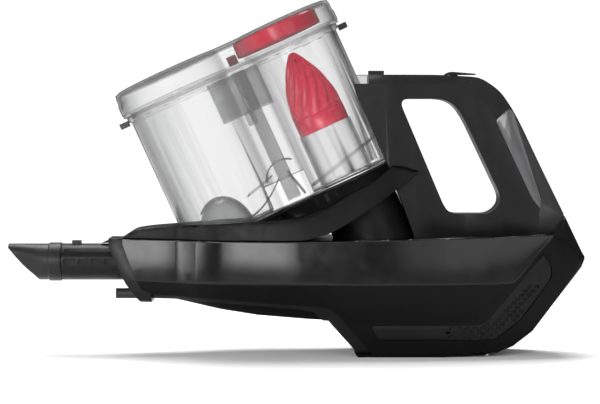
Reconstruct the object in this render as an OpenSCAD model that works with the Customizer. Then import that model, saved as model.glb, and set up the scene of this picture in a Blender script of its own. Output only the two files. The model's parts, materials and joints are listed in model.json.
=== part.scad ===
// Handheld cordless vacuum with a two-lobe dust bin and a crevice tool.
// Front (tool) is -X, handle is +X, up is +Z, and the foot stands on Z = 0.

/* [Housing] */
// Wall of the moulded housing shells
wall = 2.4; // [1.6:0.2:3.2]
// Largest half width of the housing, at the side crease
half_width = 59; // [54:1:64]
// Height of the crease along each side
crease_z = 59.5; // [56:0.5:62]

/* [Dust bin] */
// Lean of the bin towards the tool
bin_tilt = 24.5; // [22:0.5:26]
// Height of the bin wall
bin_depth = 119; // [115:1:120]
// Radius of the front lobe
front_lobe_r = 45.5; // [44:0.5:46]
// Radius of the rear lobe
rear_lobe_r = 41; // [39:0.5:41.5]
// Half width of the neck between the lobes
neck_half = 22; // [16:1:26]
// Wall of the clear bin
bin_wall = 2; // [1.5:0.1:2.4]

/* [Crevice tool] */
// Outer diameter of the tube
tube_d = 29.6; // [28:0.2:30]
// Length of the tool in front of the collar
tool_reach = 82.7; // [76:0.1:90]

/* [Handle] */
// Half width of the grip
grip_half = 18; // [16:0.5:20]
// Half width of the front column
column_half = 24; // [22:0.5:26]

/* [Motor and battery] */
// Radius of the motor can
motor_r = 22; // [18:1:24]
// Diameter of one battery cell
cell_d = 18.4; // [18:0.1:18.6]
// Length of one battery cell
cell_len = 65; // [64:0.5:66]

/* [Hidden] */

// Room between two parts that move past each other
gap = 0.4;
// A size larger than the whole object, for cutting
big = 600;
// Sides of round features
$fn = 48;

// Place of the bin's own frame: x runs back along the lid, z up the bin's axis
bin_x = -136;
bin_z = 194.2;
front_u = front_lobe_r;
rear_u = 141.4;
rim_v = 3;
bin_bottom_v = rim_v + bin_depth + 0.4;
cradle_v = bin_bottom_v + 1.4;

// Axis of the crevice tool
tool_z = 74.3;
collar_front_x = -150.5;
tool_tip_x = collar_front_x - tool_reach;

// Housing cross-sections: x, then height and half width at the bottom edge, at the
// lower edge, at the crease and at the top edge
w = half_width;
c = crease_z;
body_sections = [
    [-152.0, 44.0, 14, 50.0, 19, c + 2, 22, 94.2, 18],
    [-125.0, 42.2, 16, 51.0, 22, c + 1, 25, 94.0, 22],
    [-96.0, 41.8, 20, 48.6, 26, c, 30, 93.5, 27],
    [-78.0, 38.2, 26, 47.6, 35, c, 42, 93.5, 39],
    [-60.0, 34.4, 30, 46.4, 42, c, 50.5, 93.5, 48],
    [-30.0, 29.9, 33, 44.2, 46, c, w - 2.5, 93.6, w - 5],
    [10.0, 26.9, 36, 41.6, 48, c, w, 93.7, w - 3],
    [26.5, 26.2, 38, 40.0, 49, c, w, 93.8, w - 3],
    [41.0, 10.3, 40, 28.0, 48, c, w, 94.0, w - 3],
    [50.4, 0.0, 40, 27.4, 48, c, w, 94.3, w - 3],
    [118.0, 0.0, 40, 27.4, 46, c, w - 5, 95.8, w - 8],
    [145.0, 1.8, 38, 28.8, 43, c, w - 10, 96.5, w - 13],
    [162.0, 3.1, 36, 44.0, 42, c, w - 14, 97.0, w - 16],
    [175.0, 8.2, 34, 58.6, 41, c + 0.6, 42, 97.4, 40],
    [190.8, 19.9, 31, 77.2, 37, 78.6, 37.2, 98.0, 36],
    [207.5, 41.3, 28, 95.6, 32, 97.0, 32, 98.4, 31.5],
    [217.1, 53.5, 26, 80.0, 28.5, 96.0, 28, 112.2, 24],
    [230.8, 70.9, 22.5, 75.0, 24, 79.0, 24, 83.9, 22.5],
    [233.2, 77.0, 21, 78.0, 21.5, 79.0, 21.5, 80.0, 21]
];

// Deck cross-sections: x, then height and half width at the lower and the upper edge
deck_sections = [
    [-139.0, 94.3, 19.5, 95.4, 18.5],
    [-127.7, 94.2, 21.5, 101.8, 20.5],
    [-96.5, 93.8, 27.5, 104.9, 26.5],
    [-78.0, 93.7, 39.5, 106.0, 38.0],
    [-60.0, 93.7, 48.5, 107.0, 47.0],
    [-41.7, 93.8, 52.0, 108.1, 50.5],
    [1.7, 93.9, 56.0, 111.4, 53.0],
    [24.7, 98.6, 54.5, 119.8, 50.0],
    [41.5, 107.0, 51.0, 129.8, 46.5],
    [64.3, 121.4, 42.0, 142.2, 38.5],
    [80.3, 132.8, 33.5, 153.0, 30.5],
    [99.0, 146.4, 25.5, 149.0, 25.0]
];

// ---------- shared shapes ----------

// Closed skin over rings of points that run along X, each ring anticlockwise from +X
module skin(rings) {
    n = len(rings[0]);
    last = (len(rings) - 1) * n;
    sides = [
        for (k = [0 : len(rings) - 2], i = [0 : n - 1])
            let (a = k * n + i, b = k * n + (i + 1) % n)
                each [[a, a + n, b + n], [a, b + n, b]]
    ];
    caps = [[for (i = [0 : n - 1]) i], [for (i = [n - 1 : -1 : 0]) last + i]];
    polyhedron([for (ring = rings) each ring], concat(caps, sides), convexity = 8);
}

// Ring of a housing section, drawn in by t on every side
function body_ring(s, t) = [
    [s[0], -(s[2] - t), s[1] + t], [s[0], s[2] - t, s[1] + t],
    [s[0], s[4] - t, s[3]], [s[0], s[6] - t, s[5]], [s[0], s[8] - t, s[7] - t],
    [s[0], -(s[8] - t), s[7] - t], [s[0], -(s[6] - t), s[5]], [s[0], -(s[4] - t), s[3]]
];

function deck_ring(s, t) = [
    [s[0], -(s[2] - t), s[1] - t], [s[0], s[2] - t, s[1] - t],
    [s[0], s[4] - t, s[3] - t], [s[0], -(s[4] - t), s[3] - t]
];

// Housing shape drawn in by t; the thin end of the tail stays solid
module body_form(t) {
    solid_tail_x = 220;
    skin([for (s = body_sections) if (t == 0 || s[0] < solid_tail_x) body_ring(s, t)]);
}

// Side outline (x, z) pushed through from y0 to y1
module side_cut(outline, y0 = -big / 2, y1 = big / 2)
    translate([0, y1, 0]) rotate([90, 0, 0]) linear_extrude(y1 - y0) polygon(outline);

// Everything on one side of the middle plane: side is -1 for left, 1 for right
module half(side)
    translate([-big / 2, side > 0 ? 0 : -big / 2, -big / 2]) cube([big, big / 2, big]);

// Cylinder along X, along Y
module rod_x(d, x0, x1, z, y = 0)
    translate([x0, y, z]) rotate([0, 90, 0]) cylinder(d = d, h = x1 - x0);
module rod_y(d, y0, y1, x, z)
    translate([x, y1, z]) rotate([90, 0, 0]) cylinder(d = d, h = y1 - y0);

module slab(x0, x1, y0, y1, z0, z1)
    translate([x0, y0, z0]) cube([x1 - x0, y1 - y0, z1 - z0]);

// The bin's own frame, where depth v is measured down from the lid plane
module in_bin() translate([bin_x, 0, bin_z]) rotate([0, -bin_tilt, 0]) children();
module band(v0, v1) translate([0, 0, -v1]) linear_extrude(v1 - v0) children();
module lobe_rod(u, r, v0, v1) translate([u, 0, -v1]) cylinder(r = r, h = v1 - v0);

// Plan of the bin, grown by e: two lobes and a neck
module bin_plan(e = 0) {
    neck_grow = min(e, neck_half);
    translate([front_u, 0]) circle(r = front_lobe_r + e);
    translate([rear_u, 0]) circle(r = rear_lobe_r + e);
    translate([front_u + 15, -neck_half - neck_grow])
        square([rear_u - front_u - 30, 2 * (neck_half + neck_grow)]);
}

// Room that the bin needs in the deck and the handle column
module bin_room(e = gap + 0.2) in_bin() band(-60, cradle_v) bin_plan(e);

// ---------- housing ----------

collar_line = [
    [-139.3, 100], [-139, 89], [-130, 66], [-123.7, 52.6], [-115.7, 49.4], [-115.7, 30]
];
nose_slant = [
    [collar_front_x, 100], [collar_front_x, 87], [-136.5, 57.4], [-127, 44.6], [-120, 36]
];
// Lower edge of the side panels, where the trim strip runs down to the foot
trim_top = [
    [-115.7, 49.4], [-47.7, 45.9], [5.5, 41.8], [25.9, 40.5], [34.7, 34.1], [64, 0]
];
// Upper edge of the belly pan
belly_top = [
    [-115.7, 46.2], [-47.7, 42.6], [4, 38.6], [14.4, 36.6], [26, 25.5]
];
vent_outline = [
    [60, 26], [65.5, 13.8], [160.5, 13.8], [181, 29.6], [205.9, 62.6], [205.9, 72.3],
    [199.5, 83], [175, 55], [153, 29], [145, 26]
];
foot_plate_z = 2.6;
open_top_x1 = 8;
foot_front_x = 50.4;
cover_x1 = 164;
// Opening over the battery in the foot
bay_x0 = 57;
bay_x1 = 159;
bay_half = 35.2;

module collar_region() side_cut(concat(nose_slant, [for (i = [5 : -1 : 0]) collar_line[i]]));
module before_collar() side_cut(concat([[-200, 30], [-200, 100]],
    [for (i = [0 : 5]) collar_line[i]]));
module under_trim() side_cut(concat(trim_top, [[64, -5], [-115.7, -5]]));
module under_belly() side_cut(concat(belly_top, [[26, 0], [-115.7, 0]]));

module tool_bore(e = 0.05)
    rod_x(tube_d + 2 * e, collar_front_x - 5, bore_end_x, tool_z);
bore_end_x = -98;

module housing_shell() difference() {
    body_form(0);
    intersection() {
        body_form(wall);
        slab(collar_front_x, big, -big, big, -big, big);
    }
    before_collar();
    under_trim();
    // open top under the deck, and the hole that the motor pod stands in
    intersection() {
        translate([0, 0, 3 * wall]) body_form(wall);
        slab(collar_front_x, open_top_x1, -big, big, 80, 120);
    }
    in_bin() lobe_rod(rear_u, pod_r + gap, cradle_v, pod_v1 + 10);
    slab(foot_front_x - 15, cover_x1, -big, big, -5, foot_plate_z);
    slab(bay_x0, bay_x1, -bay_half, bay_half, -5, 6);
    side_cut(vent_outline);
    charging_bore();
    latch_slot();
}

charge_z = 79;
socket_d = 8;
module charging_bore() rod_x(socket_d + 0.1, 200, 260, charge_z);

module housing_left() color("#1b1b1d") intersection() { housing_shell(); half(-1); }
module housing_right() color("#1b1b1d") intersection() { housing_shell(); half(1); }

module nose_collar() color("#222224") difference() {
    intersection() { body_form(0); collar_region(); }
    tool_bore();
    connector_bore();
    latch_slot();
    latch_bearing();
    slab(latch_pin_x - 1.6, latch_pin_x + 1.6, -7, 7, 90.4, 100);
}

latch_x0 = -150;
latch_x1 = -141.5;
latch_half = 5;
module latch_slot()
    slab(latch_x0 - 2, latch_x1 + gap, -latch_half - gap, latch_half + gap, tool_z, 100);

connector_z = 48.4;
connector_d = 8.6;
module connector_bore() rod_x(connector_d, -160, -110, connector_z);

// Everything below the deck's upper edge
module under_deck_edge() side_cut(concat([for (s = deck_sections) [s[0], s[3] - 0.3]],
    [[99, 40], [-139, 40]]));
module pocket_cup() {
    intersection() {
        in_bin() band(85, cradle_v + floor_t) bin_plan(gap + 2.6);
        under_deck_edge();
    }
    in_bin() band(cradle_v, cradle_v + floor_t) bin_plan(-0.5);
    intersection() {
        in_bin() difference() {
            band(cradle_v, skirt_v1) bin_plan(-0.5);
            band(cradle_v - 1, skirt_v1 + 1) bin_plan(-0.5 - floor_t);
        }
        above_deck_floor();
    }
}
skirt_v1 = 160;
module above_deck_floor() side_cut(concat([for (s = deck_sections) [s[0], s[1] + 1]],
    [[99, 200], [-139, 200]]));
floor_t = 2;
inlet_u = 35;
inlet_d = 30;
outlet_d = 40;
module deck_ports(e = 0) in_bin() {
    lobe_rod(inlet_u, inlet_d / 2 + e, 110, duct_turn_v);
    lobe_rod(rear_u, outlet_d / 2 + e, 110, 140);
}

module top_deck() color("#232325") difference() {
    union() {
        difference() {
            skin([for (s = deck_sections) deck_ring(s, 0)]);
            skin([for (s = deck_sections) deck_ring(s, wall)]);
        }
        pocket_cup();
    }
    bin_room(gap);
    deck_ports();
    handle_room();
    in_bin() lobe_rod(rear_u, pod_r + gap, cradle_v + 2.4, pod_v1);
    slab(-160, -120, -latch_half - gap, latch_half + gap, 80, 120);
}
// Room for the handle column and for the rear of the deck
module handle_room() side_cut(handle_outline, -column_half - gap, column_half + gap);

module belly_pan() color("#131314") difference() {
    intersection() {
        body_form(0.6);
        under_belly();
    }
    body_form(0.6 + wall);
}

module trim_strip() color("#4a4a4c") difference() {
    intersection() {
        body_form(0);
        under_trim();
    }
    body_form(wall);
    under_belly();
    slab(foot_front_x - 15, 70, -80, 80, -5, foot_plate_z);
}

module foot_cover() color("#1d1d1f") difference() {
    intersection() {
        body_form(0);
        slab(foot_front_x - 15, cover_x1 - 0.2, -60, 60, -5, foot_plate_z);
    }
    for (p = screw_spots) translate([p[0], p[1], -1]) cylinder(d = screw_d, h = 8);
}
screw_d = 3;
screw_spots = [for (x = [62, 154], y = [-30, 30]) [x, y]];

// Exhaust grille: a plate behind the vent opening with staggered rows of slots
grille_t = 1.8;
slot_len = 4.2;
slot_h = 2.4;
row_pitch = 3.4;
slot_pitch = 7.4;
module slot_shape() {
    for (s = [-1, 1]) translate([s * (slot_len - slot_h) / 2, 0]) circle(d = slot_h, $fn = 16);
    square([slot_len - slot_h, slot_h], center = true);
}
module slot_rows(rows, count, x0, z0, angle)
    translate([x0, 0, z0]) rotate([0, -angle, 0])
        for (row = [0 : rows - 1], i = [0 : count - 1])
            translate([i * slot_pitch + (row % 2) * slot_pitch / 2, 0, row * row_pitch])
                rotate([90, 0, 0]) linear_extrude(200, center = true) slot_shape();

module vent_grille(side) color("#161617") difference() {
    intersection() {
        difference() { body_form(grille_t / 2); body_form(1.6 * grille_t); }
        side_cut(vent_outline);
        half(side);
        slab(0, 230, -80, 80, foot_plate_z, 120);
    }
    slot_rows(3, 5, 122, 16.6, 0);
    slot_rows(4, 5, 166, 29, 52);
}
module vent_grille_left() vent_grille(-1);
module vent_grille_right() vent_grille(1);

// ---------- handle ----------

handle_outline = [
    [46, 225.9], [50.7, 208.4], [73.6, 156.6], [84.4, 128], [96.4, 95], [207, 95], [217.1, 112.2],
    [197.3, 152.8], [178.2, 193.6], [165.5, 212.7], [152.7, 221.7], [145.9, 224.2], [116, 225.9]
];
finger_outline = [
    [83.2, 206.6], [120.8, 118.4], [127, 113.6], [158, 113.6], [167.5, 124.5], [136, 191],
    [128, 202], [118, 206.6]
];
handle_plan = [
    [40, column_half], [84, column_half], [126, grip_half], [180, grip_half], [222, 23],
    [222, -23], [180, -grip_half], [126, -grip_half], [84, -column_half], [40, -column_half]
];
corner_r = 5;
cover_z = 218.6;
window_x1 = 59;
cover_x_end = 140;

module handle_side(t) difference() {
    offset(delta = -t) polygon(handle_outline);
    offset(r = corner_r, $fn = 24) offset(delta = t - corner_r) polygon(finger_outline);
}
module handle_form(t) intersection() {
    rotate([90, 0, 0]) linear_extrude(big, center = true) handle_side(t);
    linear_extrude(big) offset(delta = -t) polygon(handle_plan);
}
module handle_hollow() difference() { handle_form(wall); bin_room(gap + wall); }

plate_outline = [
    [161.5, 189.5], [191, 126], [197.5, 118], [198.5, 124], [175.5, 196.5], [172.5, 199]
];
plate_inner_y = 16.4;
module plate_room(side) intersection() {
    side_cut(plate_outline);
    slab(100, 230, side > 0 ? plate_inner_y : -50, side > 0 ? 50 : -plate_inner_y, 90, 230);
}

module handle_shell(side) difference() {
    intersection() { handle_form(0); half(side); }
    handle_hollow();
    bin_room(gap);
    in_bin() lobe_rod(rear_u, pod_r + gap, cradle_v, pod_v1);
    body_form(0);
    slab(0, cover_x_end, -50, 50, cover_z, 240);
    plate_room(side);
}
module handle_left() color("#202022") handle_shell(-1);
module handle_right() color("#202022") handle_shell(1);

module grip_plate(side) color("#3a3a3c") intersection() {
    handle_form(0);
    plate_room(side);
}
module grip_plate_left() grip_plate(-1);
module grip_plate_right() grip_plate(1);

button_x0 = 59.5;
button_x1 = 72;
button_half = 8;
button_z0 = 215;
button_z1 = 229.4;
switch_x0 = 121.5;
switch_x1 = 146.4;
switch_half = 7;
switch_seat_z = 226.1;
switch_travel = 8;
stem_x0 = 126;
stem_x1 = 132;
stem_half = 2;

module handle_top_cover() color("#1c1c1e") difference() {
    intersection() { handle_form(0); slab(window_x1 + 0.1, cover_x_end, -50, 50, cover_z, 240); }
    handle_hollow();
    slab(button_x0 - gap, button_x1 + gap, -button_half - gap, button_half + gap, 200, 240);
    slab(stem_x0 - switch_travel - gap, stem_x1 + gap, -stem_half - gap, stem_half + gap, 200, 240);
}

module latch_window() color("#b9bcc0", 0.5) difference() {
    intersection() { handle_form(0); slab(0, window_x1, -50, 50, cover_z, 240); }
    handle_hollow();
    bin_room(gap);
    slab(40, window_x1 + 1, -button_half - gap, button_half + gap, 200, 222);
}

module bin_release_button() color("#262628") difference() {
    union() {
        slab(button_x0, button_x1, -button_half, button_half, button_z0, button_z1);
        slab(button_x0, button_x1 + 1.5, -button_half - 1.5, button_half + 1.5,
             button_z0, button_z0 + 2);
    }
    slab(button_x0 + 2, button_x1 - 2, -button_half + 2, button_half - 2, 200, button_z1 - 2.5);
}

// Wire coil along Z
module coil(x, z0, z1, r, wire, turns) {
    sides = 6;
    steps = turns * 12;
    skin([
        for (k = [0 : steps])
            let (a = k * 30, z = z0 + wire / 2 + (z1 - z0 - wire) * k / steps)
                [for (i = [0 : sides - 1])
                    let (f = i * 360 / sides, d = r + wire / 2 * cos(f))
                        [x + d * cos(a), d * sin(a), z - wire / 2 * sin(f)]]
    ]);
}
board_z = 209.6;
board_t = 1.6;
spring_z0 = board_z + board_t;
module release_spring() color("#b5b5b5")
    coil((button_x0 + button_x1) / 2, spring_z0 + 0.1, button_z1 - 2.6, 2.9, 0.8, 6);

module power_switch() color("#262628") union() {
    side_cut([[switch_x0, switch_seat_z], [switch_x0, 226.9], [124.5, 228.3], [127.5, 228.6],
        [switch_x1, 227.0], [switch_x1, switch_seat_z]], -switch_half, switch_half);
    slab(stem_x0, stem_x1, -stem_half, stem_half, 216, switch_seat_z);
}

// Board under the handle's top, with the slide contact; the button's spring stands on it
module switch_board() color("#1f5a3a") union() {
    slab(60, 140, -7, 7, board_z, spring_z0);
    slab(112, 136, -5, 5, spring_z0, 214.5);
}

// ---------- motor ----------

pod_r = 31;
pod_v0 = 127;
pod_v1 = 204;
pod_floor = 3;
can_v0 = 148.5;
can_v1 = 196;
cap_t = 3;
stator_r = 14;
bearing_r = 7;
shaft_r = 2.5;

module tube_at(u, r_out, r_in, v0, v1) difference() {
    lobe_rod(u, r_out, v0, v1);
    lobe_rod(u, r_in, v0 - 1, v1 + 1);
}

module motor_pod() color("#2c2c30") in_bin() difference() {
    lobe_rod(rear_u, pod_r, pod_v0, pod_v1);
    lobe_rod(rear_u, pod_r - wall, pod_v0 - 1, pod_v1 - pod_floor);
    for (a = [0 : 45 : 315]) translate([rear_u, 0, -pod_v1 - 1])
        rotate([0, 0, a]) translate([pod_r - 9, 0, 0]) cylinder(d = 7, h = pod_floor + 4);
}

module motor_can() color("#8a8d92") in_bin() difference() {
    lobe_rod(rear_u, motor_r, can_v0, can_v1);
    lobe_rod(rear_u, stator_r, can_v0 + cap_t, can_v1 - cap_t);
    lobe_rod(rear_u, bearing_r + 0.02, can_v0 - 1, can_v1 + 1);
}

module motor_rotor() color("#b08a3a") in_bin() union() {
    lobe_rod(rear_u, shaft_r, 134, can_v1 + 3);
    lobe_rod(rear_u, stator_r - 0.7, 157, 188);
    lobe_rod(rear_u, 6, 136, 146);
    lobe_rod(rear_u, 25, 136, 138);
    for (a = [0 : 40 : 320]) translate([rear_u, 0, -144]) rotate([0, 0, a])
        translate([5, -0.8, 0]) cube([19, 1.6, 7]);
}

module motor_bearings() color("#c9ccd0") in_bin() {
    tube_at(rear_u, bearing_r, shaft_r + 0.05, can_v0, can_v0 + cap_t);
    tube_at(rear_u, bearing_r, shaft_r + 0.05, can_v1 - cap_t, can_v1);
}

module motor_mount() color("#101010") in_bin()
    tube_at(rear_u, pod_r - wall - 0.05, motor_r + 0.05, 178, 190);

// ---------- battery and electrics ----------

cell_pitch = 19.4;
cell_row_z = [14.8, 31.7];
cell_spots = concat(
    [for (i = [0 : 4]) [68 + i * cell_pitch, cell_row_z[0]]],
    [for (i = [2 : 3]) [68 + (i + 0.5) * cell_pitch, cell_row_z[1]]]
);

module battery_cells() color("#3d6fb4") for (p = cell_spots)
    rod_y(cell_d, -cell_len / 2, cell_len / 2, p[0], p[1]);

module battery_holder() color("#2a2a2c") difference() {
    union() {
        for (y = [-31, 28]) {
            slab(57.6, 156, y, y + 3, foot_plate_z + 0.1, 23);
            slab(105, 146, y, y + 3, 22, 40);
        }
        for (x = [57.6, 152]) slab(x, x + 4, -31, 31, foot_plate_z + 0.1, 5.5);
        for (p = screw_spots) translate([p[0], p[1], foot_plate_z + 0.1]) cylinder(d = 7, h = 4);
    }
    for (p = cell_spots) rod_y(cell_d + 0.2, -50, 50, p[0], p[1]);
    for (p = screw_spots) translate([p[0], p[1], -1]) cylinder(d = screw_d, h = 12);
}

module control_board() color("#1f5a3a") union() {
    slab(160, 204, -24, 24, 60, 61.6);
    for (x = [168, 180]) translate([x, 10, 61.6]) cylinder(d = 9, h = 12);
    slab(186, 198, -16, -2, 61.6, 65);
    slab(164, 178, -18, -6, 61.6, 67);
}

module charging_socket() color("#0d0d0d") difference() {
    rod_x(socket_d, 208, 231, charge_z);
    rod_x(jack_d, 221, 240, charge_z);
}
jack_d = 5.5;

module exhaust_filter() color("#d8d8d2") difference() {
    intersection() {
        difference() { body_form(3.2); body_form(5.2); }
        side_cut([[124, 15], [158, 15], [179, 31], [196, 54], [188, 66], [168, 48], [150, 30],
            [124, 25]]);
    }
    slab(100, 160, -34, 34, 0, 60);
}

module case_screws() color("#9a9a9a") for (p = screw_spots) translate([p[0], p[1], 0]) {
    translate([0, 0, 0.6]) cylinder(d = screw_d - 0.1, h = 5.6);
}

// ---------- suction path ----------

// An air box behind the tube, then a pipe below the bin that turns up to its inlet
duct_d = 28;
duct_z = 60;
elbow_d = duct_d + 1.2;
duct_x0 = bore_end_x + 0.4;
duct_box_x1 = -88.5;
duct_box_half = 17;
duct_turn_v = (bin_z + inlet_u * sin(bin_tilt) - duct_z) / cos(bin_tilt);
duct_turn_x = bin_x + inlet_u * cos(bin_tilt) + duct_turn_v * sin(bin_tilt);
module duct_path(t) {
    for (top = [[duct_box_x1, 82.4], [duct_box_x1 - 3.7, 90]])
        slab(duct_x0 + t, top[0] - t, -duct_box_half + t, duct_box_half - t, 47 + t, top[1] - t);
    rod_x(duct_d - 2 * t, duct_box_x1 - wall, duct_turn_x, duct_z);
    translate([duct_turn_x, 0, duct_z]) sphere(d = elbow_d - 2 * t);
    in_bin() lobe_rod(inlet_u, duct_d / 2 - t, cradle_v + floor_t + (t > 0 ? -1 : 0.4), duct_turn_v);
}
module suction_duct() color("#3b3b3e") difference() {
    duct_path(0);
    duct_path(wall - 0.4);
    rod_x(tube_d - 4, duct_x0 - 1, duct_x0 + 4, tool_z);
}
module duct_seal() color("#0c0c0c") difference() {
    rod_x(tube_d + 3, bore_end_x - 1.8, bore_end_x, tool_z);
    rod_x(tube_d - 4, bore_end_x - 5, bore_end_x + 5, tool_z);
}

module tool_connector() color("#171719") difference() {
    rod_x(connector_d - 0.1, -146, -117, connector_z);
    for (y = [-1.8, 1.8]) rod_x(2, -147, -118, connector_z, y);
}
module contact_pins() color("#c8a048")
    for (y = [-1.8, 1.8]) rod_x(1.8, -142, -118.5, connector_z, y);

// ---------- crevice tool ----------

ring_x0 = tool_tip_x + 33;
ring_x1 = tool_tip_x + 43.5;
tube_x1 = bore_end_x - 2;
mouth_w = 15;
nozzle_h = 29.4;
tool_wall = 1.8;
window_xs = [-187, -175.7, -165.3, -154.9];
window_len = 9.8;
window_h = 5;
window_depth = 1.2;

// Upright slot section with round ends, grown by e
module mouth_section(x, e) hull() for (s = [-1, 1])
    translate([x, 0, tool_z + s * (nozzle_h - mouth_w) / 2])
        rotate([0, 90, 0]) cylinder(d = mouth_w + 2 * e, h = 1, $fn = 32);
module nozzle_form(e) hull() {
    mouth_section(tool_tip_x, e);
    translate([ring_x0, 0, tool_z]) rotate([0, 90, 0])
        cylinder(d = nozzle_h + 2 * e, h = 2, $fn = 32);
}
module crevice_nozzle() color("#3c3c3e") difference() {
    union() {
        nozzle_form(0);
        rod_x(31.2, ring_x0, ring_x1, tool_z);
    }
    nozzle_form(-tool_wall);
    rod_x(tube_d - 2 * tool_wall - 0.4, ring_x0 - 0.5, ring_x1 + 1, tool_z);
    side_cut([[tool_tip_x - 5, 86], [tool_tip_x - 5, 40], [-204, 40], [-206, 59.6],
        [-222, 73], [tool_tip_x, 87]]);
}

module crevice_tube() color("#303032") difference() {
    rod_x(tube_d, ring_x1, tube_x1, tool_z);
    rod_x(tube_d - 2 * tool_wall, ring_x1 - 1, tube_x1 + 1, tool_z);
    for (x = window_xs, s = [-1, 1])
        translate([x, s > 0 ? tube_d / 2 - window_depth : -tube_d / 2 - 9, tool_z - 1.8])
            cube([window_len, 9 + window_depth, window_h]);
    for (s = [-1, 1])
        translate([-187, s > 0 ? tube_d / 2 - 4.8 : -tube_d / 2 - 9, tool_z + 8.3])
            cube([39, 9 + 4.8, 3.6]);
    slab(catch_x0 - gap, catch_x1 + gap, -catch_half - gap, catch_half + gap, tool_z + 5, 95);
}

catch_x0 = -181.4;
catch_x1 = -174.2;
catch_half = 3.5;
module tube_catch() color("#262628") union() {
    slab(catch_x0, catch_x1, -catch_half, catch_half, 84.5, 91.6);
}

latch_pin_x = -145.5;
latch_pin_z = 91.4;
latch_tip_x = -157.5;
module nozzle_latch() color("#262628") union() {
    side_cut([[latch_tip_x, 89.6], [latch_tip_x + 6, 92.4], [latch_x1, 93.6],
        [latch_x1, 90.6], [-150, 89.8]], -latch_half, latch_half);
    rod_y(1.6, -latch_half - 3, latch_half + 3, latch_pin_x, latch_pin_z);
}
module latch_bearing() rod_y(1.7, -latch_half - 3.4, latch_half + 3.4, latch_pin_x, latch_pin_z);
// Torsion spring legs beside the latch
module latch_spring() color("#b5b5b5") for (s = [-1, 1])
    rod_y(0.8, s > 0 ? 5.2 : -6.8, s > 0 ? 6.8 : -5.2, latch_pin_x, latch_pin_z + 1.4);

// ---------- dust bin ----------

flange_v1 = 7;
flange_grow = 2.4;

module bin_shell() color("#dfe4e8", 0.35) in_bin() difference() {
    union() {
        band(rim_v, rim_v + bin_depth) bin_plan(0);
        band(rim_v, flange_v1) bin_plan(flange_grow);
    }
    difference() {
        band(rim_v - 1, rim_v + bin_depth - floor_t) bin_plan(-bin_wall);
        slab(front_u + 30, rear_u - 30, -50, 50, -rim_v - bin_depth, -100);
    }
    lobe_rod(inlet_u, inlet_d / 2, 90, 130);
    lobe_rod(rear_u, outlet_d / 2, 90, 130);
}

module bin_gasket() color("#0b0b0b") in_bin() difference() {
    band(rim_v + bin_depth, rim_v + bin_depth + 0.9) bin_plan(-0.3);
    band(rim_v + bin_depth - 1, rim_v + bin_depth + 3) bin_plan(-4);
}

tab_half = 8;
module bin_tabs() color("#101011") in_bin() for (u = [-9.5, rear_u + rear_lobe_r + flange_grow])
    translate([u, -tab_half, -9.5]) cube([9.5 - flange_grow, 2 * tab_half, 4.4]);

dome_r = 23;
dome_h = 29;
module dome_profile(e) polygon(concat([[0, 0]],
    [for (a = [0 : 7.5 : 90]) [(dome_r + e) * cos(a), (dome_h + e) * sin(a)]]));
module inlet_dome() color("#c4c8cc", 0.5) in_bin()
    translate([inlet_u, 0, -(rim_v + bin_depth - floor_t)]) difference() {
        rotate_extrude() dome_profile(0);
        translate([0, 0, -0.01]) rotate_extrude() dome_profile(-1.4);
        translate([-40, -9, 6]) cube([38, 18, 15]);
    }
module inlet_flap() color("#77797c") in_bin()
    lobe_rod(inlet_u, dome_r - 3, rim_v + bin_depth - floor_t - 2.2, rim_v + bin_depth - floor_t);

plate_t = 1.4;
module bin_ramp() color("#dfe4e8", 0.35) in_bin() intersection() {
    band(60, 118) translate([front_u, 0]) circle(r = front_lobe_r - bin_wall);
    side_cut([[62, -100], [86, -93.5], [86, -93.5 - plate_t], [62, -100 - plate_t]]);
}

module separator_floor() color("#dfe4e8", 0.35) in_bin() difference() {
    intersection() {
        band(60, 119) translate([rear_u, 0]) circle(r = rear_lobe_r - bin_wall);
        side_cut([[112, -114.3], [176, -98.5], [176, -98.5 - plate_t], [112, -114.3 - plate_t]]);
    }
    lobe_rod(rear_u, clear_r + 0.1, 60, 130);
}

clear_r = 22.4;
clear_v0 = 76;
module clear_tube() color("#e6eaee", 0.35) in_bin()
    tube_at(rear_u, clear_r, clear_r - 1.6, clear_v0, rim_v + bin_depth - floor_t);

duct_wall = 1.6;
module transfer_duct() color("#cfd3d6", 0.4) in_bin() difference() {
    translate([68, -13, -40]) cube([44, 26, 33.5]);
    translate([66, -13 + duct_wall, -40 + duct_wall]) cube([48, 26 - 2 * duct_wall, 33.5 - 2 * duct_wall]);
}

// Filter cone: a blunt ogive on a plain base band
cone_v0 = 10;
cone_base_v = 62.5;
cone_r = 21.4;
cone_nose_r = 2;
function ogive(f) = cone_nose_r + (cone_r - cone_nose_r) * sin(90 * pow(f, 0.72));
module cone_outline(e) polygon(concat(
    [[0, -cone_v0 - e]],
    [for (i = [0 : 12]) let (f = i / 12)
        [max(ogive(f) - e, 0.2), -(cone_v0 + e + (cone_base_v - cone_v0 - e) * f)]],
    [[cone_r - e, -clear_v0], [0, -clear_v0]]
));
module cone_filter() color("#c8284b") in_bin() translate([rear_u, 0, 0]) difference() {
    rotate_extrude() cone_outline(0);
    rotate_extrude() translate([0, -0.01]) cone_outline(1.8);
}

// ---------- lid ----------

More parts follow.
